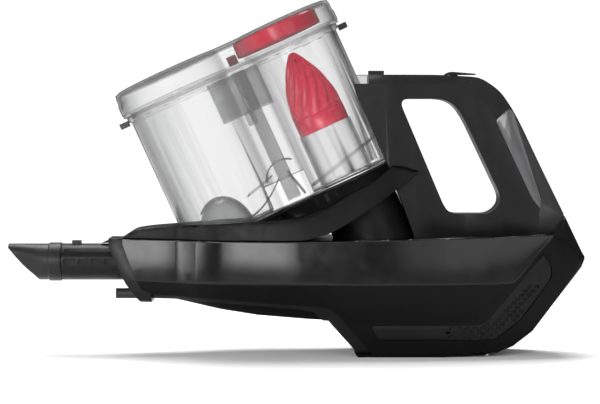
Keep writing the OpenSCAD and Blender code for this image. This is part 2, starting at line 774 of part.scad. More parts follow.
lid_v0 = -18.4;
lid_v1 = 0;
lid_grow = 5;
lid_wall = 2;
module bin_lid() color("#dfe4e8", 0.35) in_bin() difference() {
    band(lid_v0, lid_v1) bin_plan(lid_grow);
    band(lid_v0 + lid_wall, lid_v1 + 1) bin_plan(lid_grow - lid_wall);
}
module lid_gasket() color("#0b0b0b") in_bin() difference() {
    band(0, rim_v - gap) bin_plan(lid_grow - 0.6);
    band(-1, rim_v) bin_plan(-bin_wall);
}
insert_r = 36.5;
module lid_insert() color("#c22845", 0.6) in_bin() difference() {
    lobe_rod(rear_u - 4.5, insert_r, lid_v0 + lid_wall, -3.5);
    lobe_rod(rear_u - 4.5, insert_r - 2, lid_v0 + lid_wall + 3, 0);
}
module lid_corner_block() color("#7a1526") in_bin()
    translate([91.5, -8, 0.5]) cube([8, 16, 7.5]);

housing_left();
housing_right();
nose_collar();
top_deck();
belly_pan();
trim_strip();
foot_cover();
vent_grille_left();
vent_grille_right();
handle_left();
handle_right();
handle_top_cover();
grip_plate_left();
grip_plate_right();
latch_window();
bin_release_button();
release_spring();
power_switch();
switch_board();
motor_pod();
motor_can();
motor_rotor();
motor_bearings();
motor_mount();
battery_holder();
battery_cells();
control_board();
charging_socket();
exhaust_filter();
suction_duct();
duct_seal();
tool_connector();
contact_pins();
case_screws();
crevice_nozzle();
crevice_tube();
tube_catch();
nozzle_latch();
latch_spring();
bin_shell();
bin_gasket();
bin_tabs();
inlet_dome();
inlet_flap();
bin_ramp();
separator_floor();
clear_tube();
transfer_duct();
cone_filter();
bin_lid();
lid_insert();
lid_corner_block();
lid_gasket();
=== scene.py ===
"""Handheld vacuum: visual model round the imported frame. Lengths are in mm until a mesh is made."""
import json
import math

import bmesh
import bpy
import numpy as np
from mathutils import Matrix, Vector


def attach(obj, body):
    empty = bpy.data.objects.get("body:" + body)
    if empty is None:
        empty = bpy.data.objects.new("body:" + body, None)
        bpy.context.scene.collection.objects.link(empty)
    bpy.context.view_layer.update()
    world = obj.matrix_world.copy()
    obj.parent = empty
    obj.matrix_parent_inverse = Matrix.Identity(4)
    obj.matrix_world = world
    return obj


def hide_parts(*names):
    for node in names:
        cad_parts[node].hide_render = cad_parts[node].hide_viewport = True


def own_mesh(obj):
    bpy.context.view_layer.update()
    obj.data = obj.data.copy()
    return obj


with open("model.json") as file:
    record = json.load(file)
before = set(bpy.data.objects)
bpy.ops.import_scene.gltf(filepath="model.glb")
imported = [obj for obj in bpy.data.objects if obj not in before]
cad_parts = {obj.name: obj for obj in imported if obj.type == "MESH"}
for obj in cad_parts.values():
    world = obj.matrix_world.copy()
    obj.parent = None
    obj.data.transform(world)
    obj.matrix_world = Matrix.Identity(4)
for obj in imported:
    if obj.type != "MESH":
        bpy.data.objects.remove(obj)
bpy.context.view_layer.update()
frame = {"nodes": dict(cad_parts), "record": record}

MM = 0.001
WALL = 2.4
GAP = 0.4
EDGE_STEPS = 2
FLAT_ANGLE = 0.6


# ---------------- curves and outlines

def smooth_curve(xs, ys, at):
    """Monotone cubic through (xs, ys), read at the given places."""
    xs, ys, at = (np.asarray(v, float) for v in (xs, ys, at))
    step = np.diff(xs)
    slope = np.diff(ys) / step
    tangent = np.zeros(len(xs))
    tangent[0], tangent[-1] = slope[0], slope[-1]
    for i in range(1, len(xs) - 1):
        if slope[i - 1] * slope[i] > 0:
            a, b = 2 * step[i] + step[i - 1], step[i] + 2 * step[i - 1]
            tangent[i] = (a + b) / (a / slope[i - 1] + b / slope[i])
    k = np.clip(np.searchsorted(xs, at) - 1, 0, len(step) - 1)
    h = step[k]
    t = (at - xs[k]) / h
    return ((1 + 2 * t) * (1 - t) ** 2 * ys[k] + t * (1 - t) ** 2 * h * tangent[k]
            + t * t * (3 - 2 * t) * ys[k + 1] + t * t * (t - 1) * h * tangent[k + 1])


MOST_OF_SIDE = 0.48


def rounded(points, radii, steps=4, closed=True):
    """A 2D outline with its corners eased: one reach for all corners, or one for each.
    A corner takes at most nearly half of the sides that meet there."""
    out = []
    n = len(points)
    if not hasattr(radii, "__len__"):
        radii = [radii] * n
    for i, p in enumerate(points):
        p = Vector(p)
        r = radii[i]
        if r <= 0 or (not closed and i in (0, n - 1)):
            out.append(tuple(p))
            continue
        back, on = Vector(points[i - 1]) - p, Vector(points[(i + 1) % n]) - p
        a = p + back.normalized() * min(r, back.length * MOST_OF_SIDE)
        b = p + on.normalized() * min(r, on.length * MOST_OF_SIDE)
        for k in range(steps + 1):
            t = k / steps
            out.append(tuple((1 - t) ** 2 * a + 2 * t * (1 - t) * p + t * t * b))
    return out


SHARPEST_MITRE = 0.4


def inset(outline, t):
    """An outline moved inwards by t (outwards where t is below zero)."""
    if t == 0:
        return outline
    pts = [Vector(p) for p in outline]
    n = len(pts)
    turn = sum(pts[i - 1].x * pts[i].y - pts[i].x * pts[i - 1].y for i in range(n))
    way = 1 if turn > 0 else -1
    out = []
    for i, p in enumerate(pts):
        a, b = (p - pts[i - 1]).normalized(), (pts[(i + 1) % n] - p).normalized()
        na, nb = Vector((-a.y, a.x)) * way, Vector((-b.y, b.x)) * way
        mid = (na + nb).normalized()
        out.append(tuple(p + mid * t / max(SHARPEST_MITRE, mid.dot(na))))
    return out


# ---------------- solids

def placed(name, data):
    """A new object of the scene that shows the given mesh, light or camera."""
    obj = bpy.data.objects.new(name, data)
    bpy.context.scene.collection.objects.link(obj)
    return obj


def solid(name, verts, faces):
    """A closed mesh object from points in mm, its faces turned outwards."""
    mesh = bpy.data.meshes.new(name)
    mesh.from_pydata([[c * MM for c in v] for v in verts], [], faces)
    bm = bmesh.new()
    bm.from_mesh(mesh)
    bmesh.ops.recalc_face_normals(bm, faces=bm.faces)
    bm.to_mesh(mesh)
    bm.free()
    return placed(name, mesh)


def loft(name, rings, loop=False):
    """A solid over rings of equal length. With loop the last ring joins the first."""
    n = len(rings[0])
    faces = []
    for k in range(len(rings) - (0 if loop else 1)):
        a, b = k * n, (k + 1) % len(rings) * n
        faces += [(a + i, a + (i + 1) % n, b + (i + 1) % n, b + i) for i in range(n)]
    if not loop:
        faces += [tuple(range(n)), tuple(range((len(rings) - 1) * n, len(rings) * n))]
    return solid(name, [p for ring in rings for p in ring], faces)


def side_prism(name, outline, y0=-100, y1=100):
    """An (x, z) outline pushed through from y0 to y1."""
    return loft(name, [[(x, y, z) for x, z in outline] for y in (y0, y1)])


def plan_prism(name, outline, z0=-50, z1=330):
    """An (x, y) outline raised from z0 to z1."""
    return loft(name, [[(x, y, z) for x, y in outline] for z in (z0, z1)])


def box_solid(name, low, high):
    """An upright box between two corners."""
    (x0, y0, z0), (x1, y1, z1) = low, high
    return plan_prism(name, [(x0, y0), (x1, y0), (x1, y1), (x0, y1)], z0, z1)


def side_box(side):
    """Everything on one side of the middle plane: the right for 1, the left for -1."""
    return box_solid("tool", (-300, 0 if side > 0 else -200, -60), (300, 200 if side > 0 else 0, 330))


def bake_modifiers(obj):
    """Turns the modifiers' result into the mesh itself."""
    view = bpy.context.evaluated_depsgraph_get()
    mesh = bpy.data.meshes.new_from_object(obj.evaluated_get(view))
    obj.modifiers.clear()
    obj.data = mesh


def drop(obj):
    """Removes an object that was only a tool."""
    bpy.data.objects.remove(obj)


def cut(obj, *tools, how="DIFFERENCE", keep=False):
    """Applies each tool to obj, and then removes it unless it is kept."""
    for tool in tools:
        mod = obj.modifiers.new("cut", "BOOLEAN")
        mod.operation, mod.object, mod.solver = how, tool, "EXACT"
        bake_modifiers(obj)
        if not keep:
            drop(tool)
    return obj


def copy_of(obj, name, mirror=False):
    """A copy with its own mesh, mirrored across the middle plane where asked."""
    new = obj.copy()
    new.data = obj.data.copy()
    new.name = new.data.name = name
    bpy.context.scene.collection.objects.link(new)
    if mirror:
        new.data.transform(Matrix.Scale(-1, 4, (0, 1, 0)))
        new.data.flip_normals()
    return new


def split(obj, left_name, right_name):
    """The left and the right half of a piece, as two pieces."""
    right = cut(copy_of(obj, right_name), side_box(1), how="INTERSECT")
    left = cut(obj, side_box(-1), how="INTERSECT")
    left.name = left_name
    return left, right


def weld(obj):
    """Merges points that lie on each other, such as those of a ring shrunk to its axis."""
    bm = bmesh.new()
    bm.from_mesh(obj.data)
    bmesh.ops.remove_doubles(bm, verts=bm.verts, dist=0.01 * MM)
    bm.to_mesh(obj.data)
    bm.free()


def join(name, *objs):
    """Several closed meshes as one piece."""
    bm = bmesh.new()
    for obj in objs:
        bm.from_mesh(obj.data)
        drop(obj)
    mesh = bpy.data.meshes.new(name)
    bm.to_mesh(mesh)
    bm.free()
    return placed(name, mesh)


def shade(obj, angle=32):
    """Smooth shading, with edges sharper than the angle kept sharp."""
    obj.data.shade_smooth()
    obj.data.set_sharp_from_angle(angle=math.radians(angle))


def ease_edges(obj, width, segments=EDGE_STEPS, angle=28, clean=True):
    """Modifiers that clean flat faces and round every edge sharper than the angle."""
    if clean:
        flat = obj.modifiers.new("flat", "DECIMATE")
        flat.decimate_type, flat.angle_limit = "DISSOLVE", math.radians(FLAT_ANGLE)
    mod = obj.modifiers.new("ease", "BEVEL")
    mod.width, mod.segments, mod.limit_method = width * MM, segments, "ANGLE"
    mod.angle_limit, mod.use_clamp_overlap = math.radians(angle), True
    mod.harden_normals = False
    weight = obj.modifiers.new("weight", "WEIGHTED_NORMAL")
    weight.keep_sharp = True


def done(obj, body, slot, material, *nodes, ease=0.4, angle=28, smooth=32, clean=True):
    """Finishes a piece: rounds, shading, material, body and the nodes it stands for. The slot is not
    used.
    """
    shade(obj, smooth)
    if ease:
        ease_edges(obj, ease, EDGE_STEPS, angle, clean)
        bake_modifiers(obj)
        shade(obj, smooth)
    obj.data.materials.clear()
    obj.data.materials.append(material)
    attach(obj, body)
    if nodes:
        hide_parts(*nodes)


# ---------------- materials

TONE_PATCH, ROUGH_PATCH, GRAIN_DEPTH = 24, 9, 0.06
ROUGH_SWING = 0.14
COAT_ROUGH = 0.06


def plastic(name, base, rough=0.35, grain=0.0, grain_size=0.5, mottle=0.12, coat=0.0, sheen=0.25):
    """Moulded plastic: slight tone and roughness variation, and a fine spark-eroded grain.
    The mottle is how far the tone strays, and the sheen is the shader's specular level."""
    mat = bpy.data.materials.new(name)
    mat.use_nodes = True
    nodes, link = mat.node_tree.nodes, mat.node_tree.links.new
    shader = nodes["Principled BSDF"]
    place = nodes.new("ShaderNodeTexCoord").outputs["Object"]

    def noise(size, detail, low, high):
        """Soft noise with patches of the given size, spread from low to high."""
        tex = nodes.new("ShaderNodeTexNoise")
        tex.inputs["Scale"].default_value = 1 / (size * MM)
        tex.inputs["Detail"].default_value = detail
        link(place, tex.inputs["Vector"])
        span = nodes.new("ShaderNodeMapRange")
        span.inputs["From Min"].default_value = 0.3
        span.inputs["From Max"].default_value = 0.7
        span.inputs["To Min"].default_value = low
        span.inputs["To Max"].default_value = high
        link(tex.outputs["Fac"], span.inputs["Value"])
        return span.outputs["Result"]

    tone = nodes.new("ShaderNodeValToRGB")
    tone.color_ramp.elements[0].color = (*[c * (1 - mottle) for c in base], 1)
    tone.color_ramp.elements[1].color = (*[min(1, c * (1 + mottle)) for c in base], 1)
    link(noise(TONE_PATCH, 3, 0, 1), tone.inputs["Fac"])
    link(tone.outputs["Color"], shader.inputs["Base Color"])
    low, high = rough * (1 - ROUGH_SWING), min(1, rough * (1 + ROUGH_SWING))
    link(noise(ROUGH_PATCH, 4, low, high), shader.inputs["Roughness"])
    shader.inputs["IOR"].default_value = 1.5
    shader.inputs["Specular IOR Level"].default_value = sheen
    shader.inputs["Coat Weight"].default_value = coat
    shader.inputs["Coat Roughness"].default_value = COAT_ROUGH
    if grain:
        bump = nodes.new("ShaderNodeBump")
        bump.inputs["Strength"].default_value = grain
        bump.inputs["Distance"].default_value = GRAIN_DEPTH * MM
        link(noise(grain_size, 2, 0, 1), bump.inputs["Height"])
        link(bump.outputs["Normal"], shader.inputs["Normal"])
    return mat


EDGE_POWER = 2.0


def clear_plastic(name, tint, edge_tint, face_alpha, edge_alpha, rough=0.04):
    """Clear moulding: nearly open face on, darker and more solid where it is seen edge on."""
    mat = plastic(name, tint, rough, mottle=0.03)
    nodes, link = mat.node_tree.nodes, mat.node_tree.links.new
    shader = nodes["Principled BSDF"]
    facing = nodes.new("ShaderNodeLayerWeight")
    facing.inputs["Blend"].default_value = 0.5
    curve = nodes.new("ShaderNodeMath")
    curve.operation = "POWER"
    curve.inputs[1].default_value = EDGE_POWER
    link(facing.outputs["Facing"], curve.inputs[0])
    span = nodes.new("ShaderNodeMapRange")
    span.inputs["To Min"].default_value = face_alpha
    span.inputs["To Max"].default_value = edge_alpha
    link(curve.outputs["Value"], span.inputs["Value"])
    link(span.outputs["Result"], shader.inputs["Alpha"])
    tone = nodes.new("ShaderNodeMixRGB")
    old = shader.inputs["Base Color"].links[0].from_socket
    link(curve.outputs["Value"], tone.inputs["Fac"])
    link(old, tone.inputs["Color1"])
    tone.inputs["Color2"].default_value = (*edge_tint, 1)
    link(tone.outputs["Color"], shader.inputs["Base Color"])
    return mat


def metal(name, base, rough):
    """Bare metal with a fine grain."""
    mat = plastic(name, base, rough, grain=0.2, grain_size=0.3)
    mat.node_tree.nodes["Principled BSDF"].inputs["Metallic"].default_value = 1.0
    return mat


GLOSS_BLACK = plastic("gloss black", (0.0042, 0.0042, 0.0045), 0.2, sheen=0.26)
# the housing black made darker and duller: painted shade for the facets under the crease
SHADED_BLACK = plastic("shaded black", (0.0032, 0.0032, 0.0034), 0.34, grain=0.1, grain_size=0.35, sheen=0.09)
SATIN_BLACK = plastic("satin black", (0.006, 0.006, 0.0064), 0.36, grain=0.25, grain_size=0.35, sheen=0.2)
DECK_BLACK = plastic("deck black", (0.005, 0.005, 0.0053), 0.42, grain=0.15, grain_size=0.35, sheen=0.12)
BELLY_BLACK = plastic("belly black", (0.003, 0.003, 0.0032), 0.5, grain=0.3, grain_size=0.4, sheen=0.05)
TRIM_GREY = plastic("trim charcoal", (0.009, 0.009, 0.0095), 0.36, grain=0.2, grain_size=0.35, sheen=0.1)
GRILLE_BLACK = plastic("grille black", (0.006, 0.006, 0.0064), 0.4, grain=0.5, grain_size=1.6, sheen=0.15)
HANDLE_BLACK = plastic("handle black", (0.005, 0.005, 0.0053), 0.36, grain=0.2, grain_size=0.3, sheen=0.2)
PLATE_GREY = plastic("plate charcoal", (0.05, 0.05, 0.053), 0.3, coat=0.2, sheen=0.5)
TOOL_GREY = plastic("tool grey", (0.013, 0.013, 0.014), 0.42, grain=0.35, grain_size=0.4, sheen=0.2)
TUBE_GREY = plastic("tube grey", (0.007, 0.007, 0.0075), 0.4, grain=0.3, grain_size=0.4, sheen=0.15)
CONTROL_BLACK = plastic("control black", (0.0055, 0.0055, 0.006), 0.28, grain=0.2, grain_size=0.4)
RUBBER = plastic("rubber", (0.003, 0.003, 0.003), 0.62, grain=0.4, grain_size=0.6)
CRIMSON = plastic("crimson", (0.66, 0.003, 0.045), 0.28, grain=0.15, grain_size=0.4, sheen=0.5)
DARK_RED = plastic("dark red", (0.12, 0.004, 0.014), 0.15, coat=0.4)
HOLDER = plastic("holder black", (0.02, 0.02, 0.022), 0.5, grain=0.4, grain_size=0.6)
DUCT_GREY = plastic("duct grey", (0.07, 0.07, 0.074), 0.42, grain=0.3, grain_size=0.5)
BOARD = plastic("board green", (0.01, 0.09, 0.04), 0.35, grain=0.3, grain_size=0.8)
# the cells' blue sleeve, darkened as painted shade for the cells seen through the vent slots
CELL = plastic("cell sleeve", (0.012, 0.02, 0.045), 0.3, mottle=0.2)
FOAM = plastic("filter foam", (0.02, 0.02, 0.02), 0.85, grain=1.0, grain_size=1.2, mottle=0.25)
STEEL = metal("steel", (0.6, 0.6, 0.61), 0.25)
MOTOR_STEEL = metal("motor steel", (0.42, 0.43, 0.45), 0.38)
ROTOR = metal("rotor alloy", (0.7, 0.62, 0.46), 0.3)
BRASS = metal("brass", (0.75, 0.55, 0.25), 0.25)
CLEAR = clear_plastic("clear", (0.22, 0.225, 0.23), (0.006, 0.006, 0.0065), 0.09, 0.95)
CLEAR_THIN = clear_plastic("clear thin", (0.2, 0.205, 0.21), (0.01, 0.01, 0.011), 0.04, 0.9)
SMOKE_THIN = clear_plastic("smoke thin", (0.16, 0.16, 0.165), (0.02, 0.02, 0.021), 0.26, 0.9)
GUIDE = clear_plastic("guide", (0.05, 0.05, 0.052), (0.01, 0.01, 0.011), 0.5, 0.97)
SMOKE = clear_plastic("smoke clear", (0.3, 0.3, 0.31), (0.05, 0.05, 0.05), 0.35, 0.85)
RED_CLEAR = clear_plastic("red clear", (0.62, 0.002, 0.035), (0.16, 0.001, 0.008), 0.8, 0.98, 0.1)

SLOT_LOOK = {
    "housing": GLOSS_BLACK, "collar": SATIN_BLACK, "deck": DECK_BLACK, "belly": BELLY_BLACK,
    "trim": TRIM_GREY, "grille": GRILLE_BLACK, "handle": HANDLE_BLACK, "plate": PLATE_GREY,
    "smoke_clear": SMOKE, "control": CONTROL_BLACK, "spring_steel": STEEL, "board": BOARD,
    "motor_steel": MOTOR_STEEL, "rotor": ROTOR, "rubber_black": RUBBER, "holder": HOLDER,
    "cell": CELL, "foam": FOAM, "duct": DUCT_GREY, "contact": BRASS, "tool": TOOL_GREY,
    "tool_tube": TUBE_GREY, "clear": CLEAR, "crimson": CRIMSON, "red_clear": RED_CLEAR,
    "dark_red": DARK_RED,
}
NODE_LOOK = {"lid_gasket": SMOKE, "inlet_dome": SMOKE_THIN, "inlet_flap": DUCT_GREY}


def dress_cad_nodes():
    """Every CAD node gets its own or its slot's look, and eased edges. Some are replaced later."""
    for part in frame["record"]["subparts"]:
        obj = frame["nodes"][part["node"]]
        look = NODE_LOOK.get(part["node"]) or SLOT_LOOK[part["material_slot"]]
        obj.data.materials.clear()
        obj.data.materials.append(look)
        ease_edges(obj, 0.25)


dress_cad_nodes()


# ---------------- bin frame

BIN_TILT = math.radians(24.5)
BIN_X, BIN_Z = -136.0, 194.2
FRONT_U, REAR_U = 45.5, 141.4
FRONT_R, REAR_R = 45.5, 41.0
NECK = 22.0
BIN_TOP_V, BIN_END_V = 3.0, 122.0
CRADLE_V = 123.8
NECK_EASE = 2.6
ARC_STEPS = 40
TURN_STEPS = 64


def bin_point(u, y, v):
    """A place in the bin's own frame: u runs back along its lid, v runs down from its lid."""
    return (BIN_X + u * math.cos(BIN_TILT) + v * math.sin(BIN_TILT), y,
            BIN_Z + u * math.sin(BIN_TILT) - v * math.cos(BIN_TILT))


def lobes(grow=0.0):
    """Plan of the bin as (u, y): two lobes joined by a neck, with eased inner corners."""
    neck = NECK + grow
    front, rear = FRONT_R + grow, REAR_R + grow
    a_front = math.asin(neck / front)
    a_rear = math.asin(neck / rear)
    pts = []
    for k in range(ARC_STEPS + 1):
        a = a_front + (2 * math.pi - 2 * a_front) * k / ARC_STEPS
        pts.append((FRONT_U + front * math.cos(a), front * math.sin(a)))
    for k in range(ARC_STEPS + 1):
        a = -math.pi + a_rear + (2 * math.pi - 2 * a_rear) * k / ARC_STEPS
        pts.append((REAR_U + rear * math.cos(a), rear * math.sin(a)))
    radii = [0] * len(pts)
    for corner in (0, ARC_STEPS, ARC_STEPS + 1, 2 * ARC_STEPS + 1):
        radii[corner] = NECK_EASE
    return rounded(pts, radii, 3)


def bin_ring(outline, v):
    """A (u, y) outline placed at depth v."""
    return [bin_point(u, y, v) for u, y in outline]


def bin_prism(name, outline, v0, v1):
    """A (u, y) outline pushed along the bin's axis from v0 to v1."""
    return loft(name, [bin_ring(outline, v0), bin_ring(outline, v1)])


def bin_loft(name, levels):
    """A solid over (grow, v) levels: the bin's plan grown by so much, at each depth."""
    plan = lobes()
    return loft(name, [bin_ring(inset(plan, -grow), v) for grow, v in levels])


def circle(u, r):
    """Plan of a round thing about the bin's long middle line."""
    angles = [2 * math.pi * k / TURN_STEPS for k in range(TURN_STEPS)]
    return [(u + r * math.cos(a), r * math.sin(a)) for a in angles]


def turned(name, u, profile, steps=TURN_STEPS):
    """A solid of revolution about the bin's axis at u, from a closed (radius, v) profile."""
    rings = []
    for k in range(steps):
        a = 2 * math.pi * k / steps
        rings.append([bin_point(u + r * math.cos(a), r * math.sin(a), v) for r, v in profile])
    return loft(name, rings, loop=True)


# ---------------- housing shapes

# Stations of the body, each with x, then height and half width at the bottom, lower, crease and
# top edges. The heights are joined by straight lines and the half widths by smooth curves.
BODY = np.array([
    [-152.0, 44.0, 14, 50.0, 19, 61.5, 22, 94.2, 18],
    [-125.0, 42.2, 16, 51.0, 22, 60.5, 25, 94.0, 22],
    [-96.0, 41.8, 20, 48.6, 26, 59.5, 30, 93.5, 27],
    [-78.0, 38.2, 26, 47.6, 35, 59.5, 42, 93.5, 39],
    [-60.0, 34.4, 30, 46.4, 42, 59.5, 50.5, 93.5, 48],
    [-30.0, 29.9, 33, 44.2, 46, 59.5, 56.5, 93.6, 54],
    [10.0, 26.9, 36, 41.6, 48, 59.5, 59, 93.7, 56],
    [26.5, 26.2, 38, 40.0, 49, 59.5, 59, 93.8, 56],
    [41.0, 10.3, 40, 28.0, 48, 59.5, 59, 94.0, 56],
    [50.4, 0.0, 40, 27.4, 48, 59.5, 59, 94.3, 56],
    [118.0, 0.0, 40, 27.4, 46, 59.5, 54, 95.8, 51],
    [145.0, 1.8, 38, 28.8, 43, 59.5, 49, 96.5, 46],
    [162.0, 3.1, 36, 44.0, 42, 59.5, 45, 97.0, 43],
    [175.0, 8.2, 34, 58.6, 41, 60.1, 42, 97.4, 40],
    [190.8, 19.9, 31, 77.2, 37, 78.6, 37.2, 98.0, 36],
    [207.5, 41.3, 28, 95.6, 32, 97.0, 32, 98.4, 31.5],
    [217.1, 53.5, 26, 80.0, 28.5, 96.0, 28, 112.2, 24],
    [230.8, 70.9, 22.5, 75.0, 24, 79.0, 24, 83.9, 22.5],
    [233.2, 77.0, 21, 78.0, 21.5, 79.0, 21.5, 80.0, 21],
])
# Stations of the deck, each with x, then height and half width at its lower and its upper edge,
# all joined by smooth curves
DECK = np.array([
    [-139.0, 94.3, 19.5, 95.4, 18.5],
    [-127.7, 94.2, 21.5, 101.8, 20.5],
    [-96.5, 93.8, 27.5, 104.9, 26.5],
    [-78.0, 93.7, 39.5, 106.0, 38.0],
    [-60.0, 93.7, 48.5, 107.0, 47.0],
    [-41.7, 93.8, 52.0, 108.1, 50.5],
    [1.7, 93.9, 56.0, 111.4, 53.0],
    [24.7, 98.6, 54.5, 119.8, 50.0],
    [41.5, 107.0, 51.0, 129.8, 46.5],
    [64.3, 121.4, 42.0, 142.2, 38.5],
    [80.3, 132.8, 33.5, 153.0, 30.5],
    [99.0, 146.4, 25.5, 149.0, 25.0],
])
ROUND_STEPS = 3
CROWN_STEPS = 5
CROWN_SHARE = 0.02
FAR = 80


def section(corners, radii, rises):
    """Left half of a cross-section from the top middle down, with eased corners and bowed sides.
    A side bows by its rise, but by no more than a small share of its length."""
    line = rounded(corners, radii, ROUND_STEPS, closed=False)
    out = []
    for i, (a, b) in enumerate(zip(line, line[1:])):
        out.append(a)
        if i % (ROUND_STEPS + 1):
            continue
        a, b = Vector(a), Vector(b)
        side = b - a
        rise = min(rises[i // (ROUND_STEPS + 1)], CROWN_SHARE * side.length)
        out_way = Vector((side.y, -side.x)).normalized()
        for k in range(1, CROWN_STEPS):
            t = k / CROWN_STEPS
            out.append(tuple(a + side * t + out_way * rise * 4 * t * (1 - t)))
    return out + [line[-1]]


def whole(line):
    """A full ring from its left half."""
    return line + [(-y, z) for y, z in line[-2:0:-1]]


def stations(table, x0, x1, count):
    """Places from x0 to x1: evenly spaced ones, and the table's own."""
    inside = [x for x in table[:, 0] if x0 < x < x1]
    return np.array(sorted({round(x, 2) for x in [*np.linspace(x0, x1, count), *inside]}))


def body_loft(name, t=0.0, x0=BODY[0, 0], x1=BODY[-1, 0], full=True, lift=0.0, count=70):
    """The body drawn in by t, from x0 to x1, whole or its left half, its top raised by lift."""
    xs = stations(BODY, x0, x1, count)
    heights = [np.interp(xs, BODY[:, 0], BODY[:, k]) for k in (7, 5, 3, 1)]
    halves = [smooth_curve(BODY[:, 0], BODY[:, k], xs) for k in (8, 6, 4, 2)]
    rings = []
    for i, x in enumerate(xs):
        top, crease, low, bottom = (h[i] for h in heights)
        w_top, w_crease, w_low, w_bottom = (h[i] - t for h in halves)
        corners = [(0, top - t + lift), (-w_top, top - t + lift), (-w_crease, crease),
                   (-w_low, low), (-w_bottom, bottom + t), (0, bottom + t)]
        line = section(corners, [0, 1.6, 2.0, 1.4, 3.0, 0], [0, 0.9, 0.5, 0.5, 0])
        ring = whole(line) if full else line
        rings.append([(x, y, z) for y, z in ring])
    return loft(name, rings)


def deck_loft(name, t=0.0):
    """The deck drawn in by t."""
    xs = stations(DECK, DECK[0, 0], DECK[-1, 0], 60)
    low, w_low, top, w_top = (smooth_curve(DECK[:, 0], DECK[:, k], xs) for k in (1, 2, 3, 4))
    rings = []
    for i, x in enumerate(xs):
        corners = [(0, top[i] - t), (-(w_top[i] - t), top[i] - t), (-(w_low[i] - t), low[i] - t),
                   (0, low[i] - t)]
        line = section(corners, [0, 2.6, 0.8, 0], [0, 0.4, 0])
        rings.append([(x, y, z) for y, z in whole(line)])
    return loft(name, rings)


COLLAR_FRONT_X, COLLAR_END_X, BORE_END_X = -150.5, -112.0, -98.0
TOOL_Z, TUBE_R, BORE_R = 74.3, 14.8, 15.2
CONNECTOR_Z, CONNECTOR_R = 48.4, 4.3
SOCKET_Z, SOCKET_R = 79, 4.05
COLLAR_LINE = [(-139.3, 100), (-139, 89), (-130, 66), (-123.7, 52.6), (-115.7, 49.4), (-115.7, 30)]
NOSE_SLANT = [(COLLAR_FRONT_X, 100), (COLLAR_FRONT_X, 87), (-136.5, 57.4), (-127, 44.6), (-120, 36)]
TRIM_TOP = [(-115.7, 49.4), (-47.7, 45.9), (5.5, 41.8), (25.9, 40.5), (34.7, 34.1), (64, 0)]
BELLY_TOP = [(-115.7, 46.2), (-47.7, 42.6), (4, 38.6), (14.4, 36.6), (26, 25.5)]
VENT = [(60, 26), (65.5, 13.8), (160.5, 13.8), (181, 29.6), (205.9, 62.6), (205.9, 72.3),
        (199.5, 83), (175, 55), (153, 29), (145, 26)]
VENT_EASE = 3.0
BELLY_IN = 0.6
FOOT_X0, FOOT_X1, FOOT_PLATE_Z = 35.4, 164, 2.6
COVER_ROOM = [(57, -35.2, -6), (159, 35.2, 6)]
LATCH_HALF = 5.4
LATCH_SLOT = [(-152, -LATCH_HALF, TOOL_Z), (-141.1, LATCH_HALF, 100)]
LATCH_PIN_SLOT = [(-147.1, -7, 90.4), (-143.9, 7, 100)]
POD_R, POD_END_V = 31.0, 204.0
PORTS = [(35, 15), (REAR_U, 20)]


def rod_x(r, x0, x1, z):
    """A round bar along X, as a cutter."""
    ring = [(r * math.cos(a), z + r * math.sin(a)) for a in np.linspace(0, 2 * math.pi, 49)[:-1]]
    return loft("tool", [[(x, py, pz) for py, pz in ring] for x in (x0, x1)])


def bin_room(grow):
    """The place of the bin, grown and open upwards, as a cutter."""
    return bin_prism("tool", lobes(grow), -60, CRADLE_V)


def pod_room(v0=CRADLE_V, v1=POD_END_V):
    """The place of the motor pod with its gap, as a cutter."""
    return bin_prism("tool", circle(REAR_U, POD_R + GAP), v0, v1)


def ports(v0, v1):
    """The ports for dirty air in and clean air out, as cutters."""
    return [bin_prism("tool", circle(u, r), v0, v1) for u, r in PORTS]


def foot_room(x1=FOOT_X1):
    """Everything below the foot's top face, as a cutter."""
    return box_solid("tool", (FOOT_X0, -FAR, -5), (x1, FAR, FOOT_PLATE_Z))


def under_trim():
    """Everything below the trim's upper edge, as a cutter."""
    return side_prism("tool", [*TRIM_TOP, (64, -5), (-115.7, -5)])


def under_belly():
    """Everything below the belly's upper edge, as a cutter."""
    return side_prism("tool", [*BELLY_TOP, (26, 0), (-115.7, 0)])


def paint_shade_below_crease(obj, material):
    """The facets under the crease are painted duller and darker than the sides: painted shade, as they
    face down and away from the lights.
    """
    obj.data.materials.append(material)
    for face in obj.data.polygons:
        crease = np.interp(face.center.x / MM, BODY[:, 0], BODY[:, 5])
        faces_out = abs(face.normal.y) > 0.05
        face.material_index = int(face.center.z / MM < crease - 0.4 and faces_out)


def make_housing():
    """Two hollow shell halves, open at the nose, under the deck, at the foot and at the vents."""
    left = body_loft("shell_left", full=False)
    before_collar = side_prism("tool", [(-200, 30), (-200, 100), *COLLAR_LINE])
    vent = side_prism("tool", rounded(VENT, VENT_EASE, 3))
    cut(left, body_loft("tool", WALL, -151.0, 219.0), before_collar, under_trim(),
        body_loft("tool", WALL, -149.0, 8.0, lift=3 * WALL), pod_room(v1=POD_END_V + 10),
        foot_room(), box_solid("tool", *COVER_ROOM), vent,
        rod_x(SOCKET_R, 200, 260, SOCKET_Z), box_solid("tool", *LATCH_SLOT))
    right = copy_of(left, "shell_right", mirror=True)
    done(left, "vacuum", "housing", GLOSS_BLACK, "housing_left", ease=0.45)
    done(right, "vacuum", "housing", GLOSS_BLACK, "housing_right", ease=0.45)
    # painted shade: a darker, duller black on the facets under the crease
    paint_shade_below_crease(left, SHADED_BLACK)
    paint_shade_below_crease(right, SHADED_BLACK)


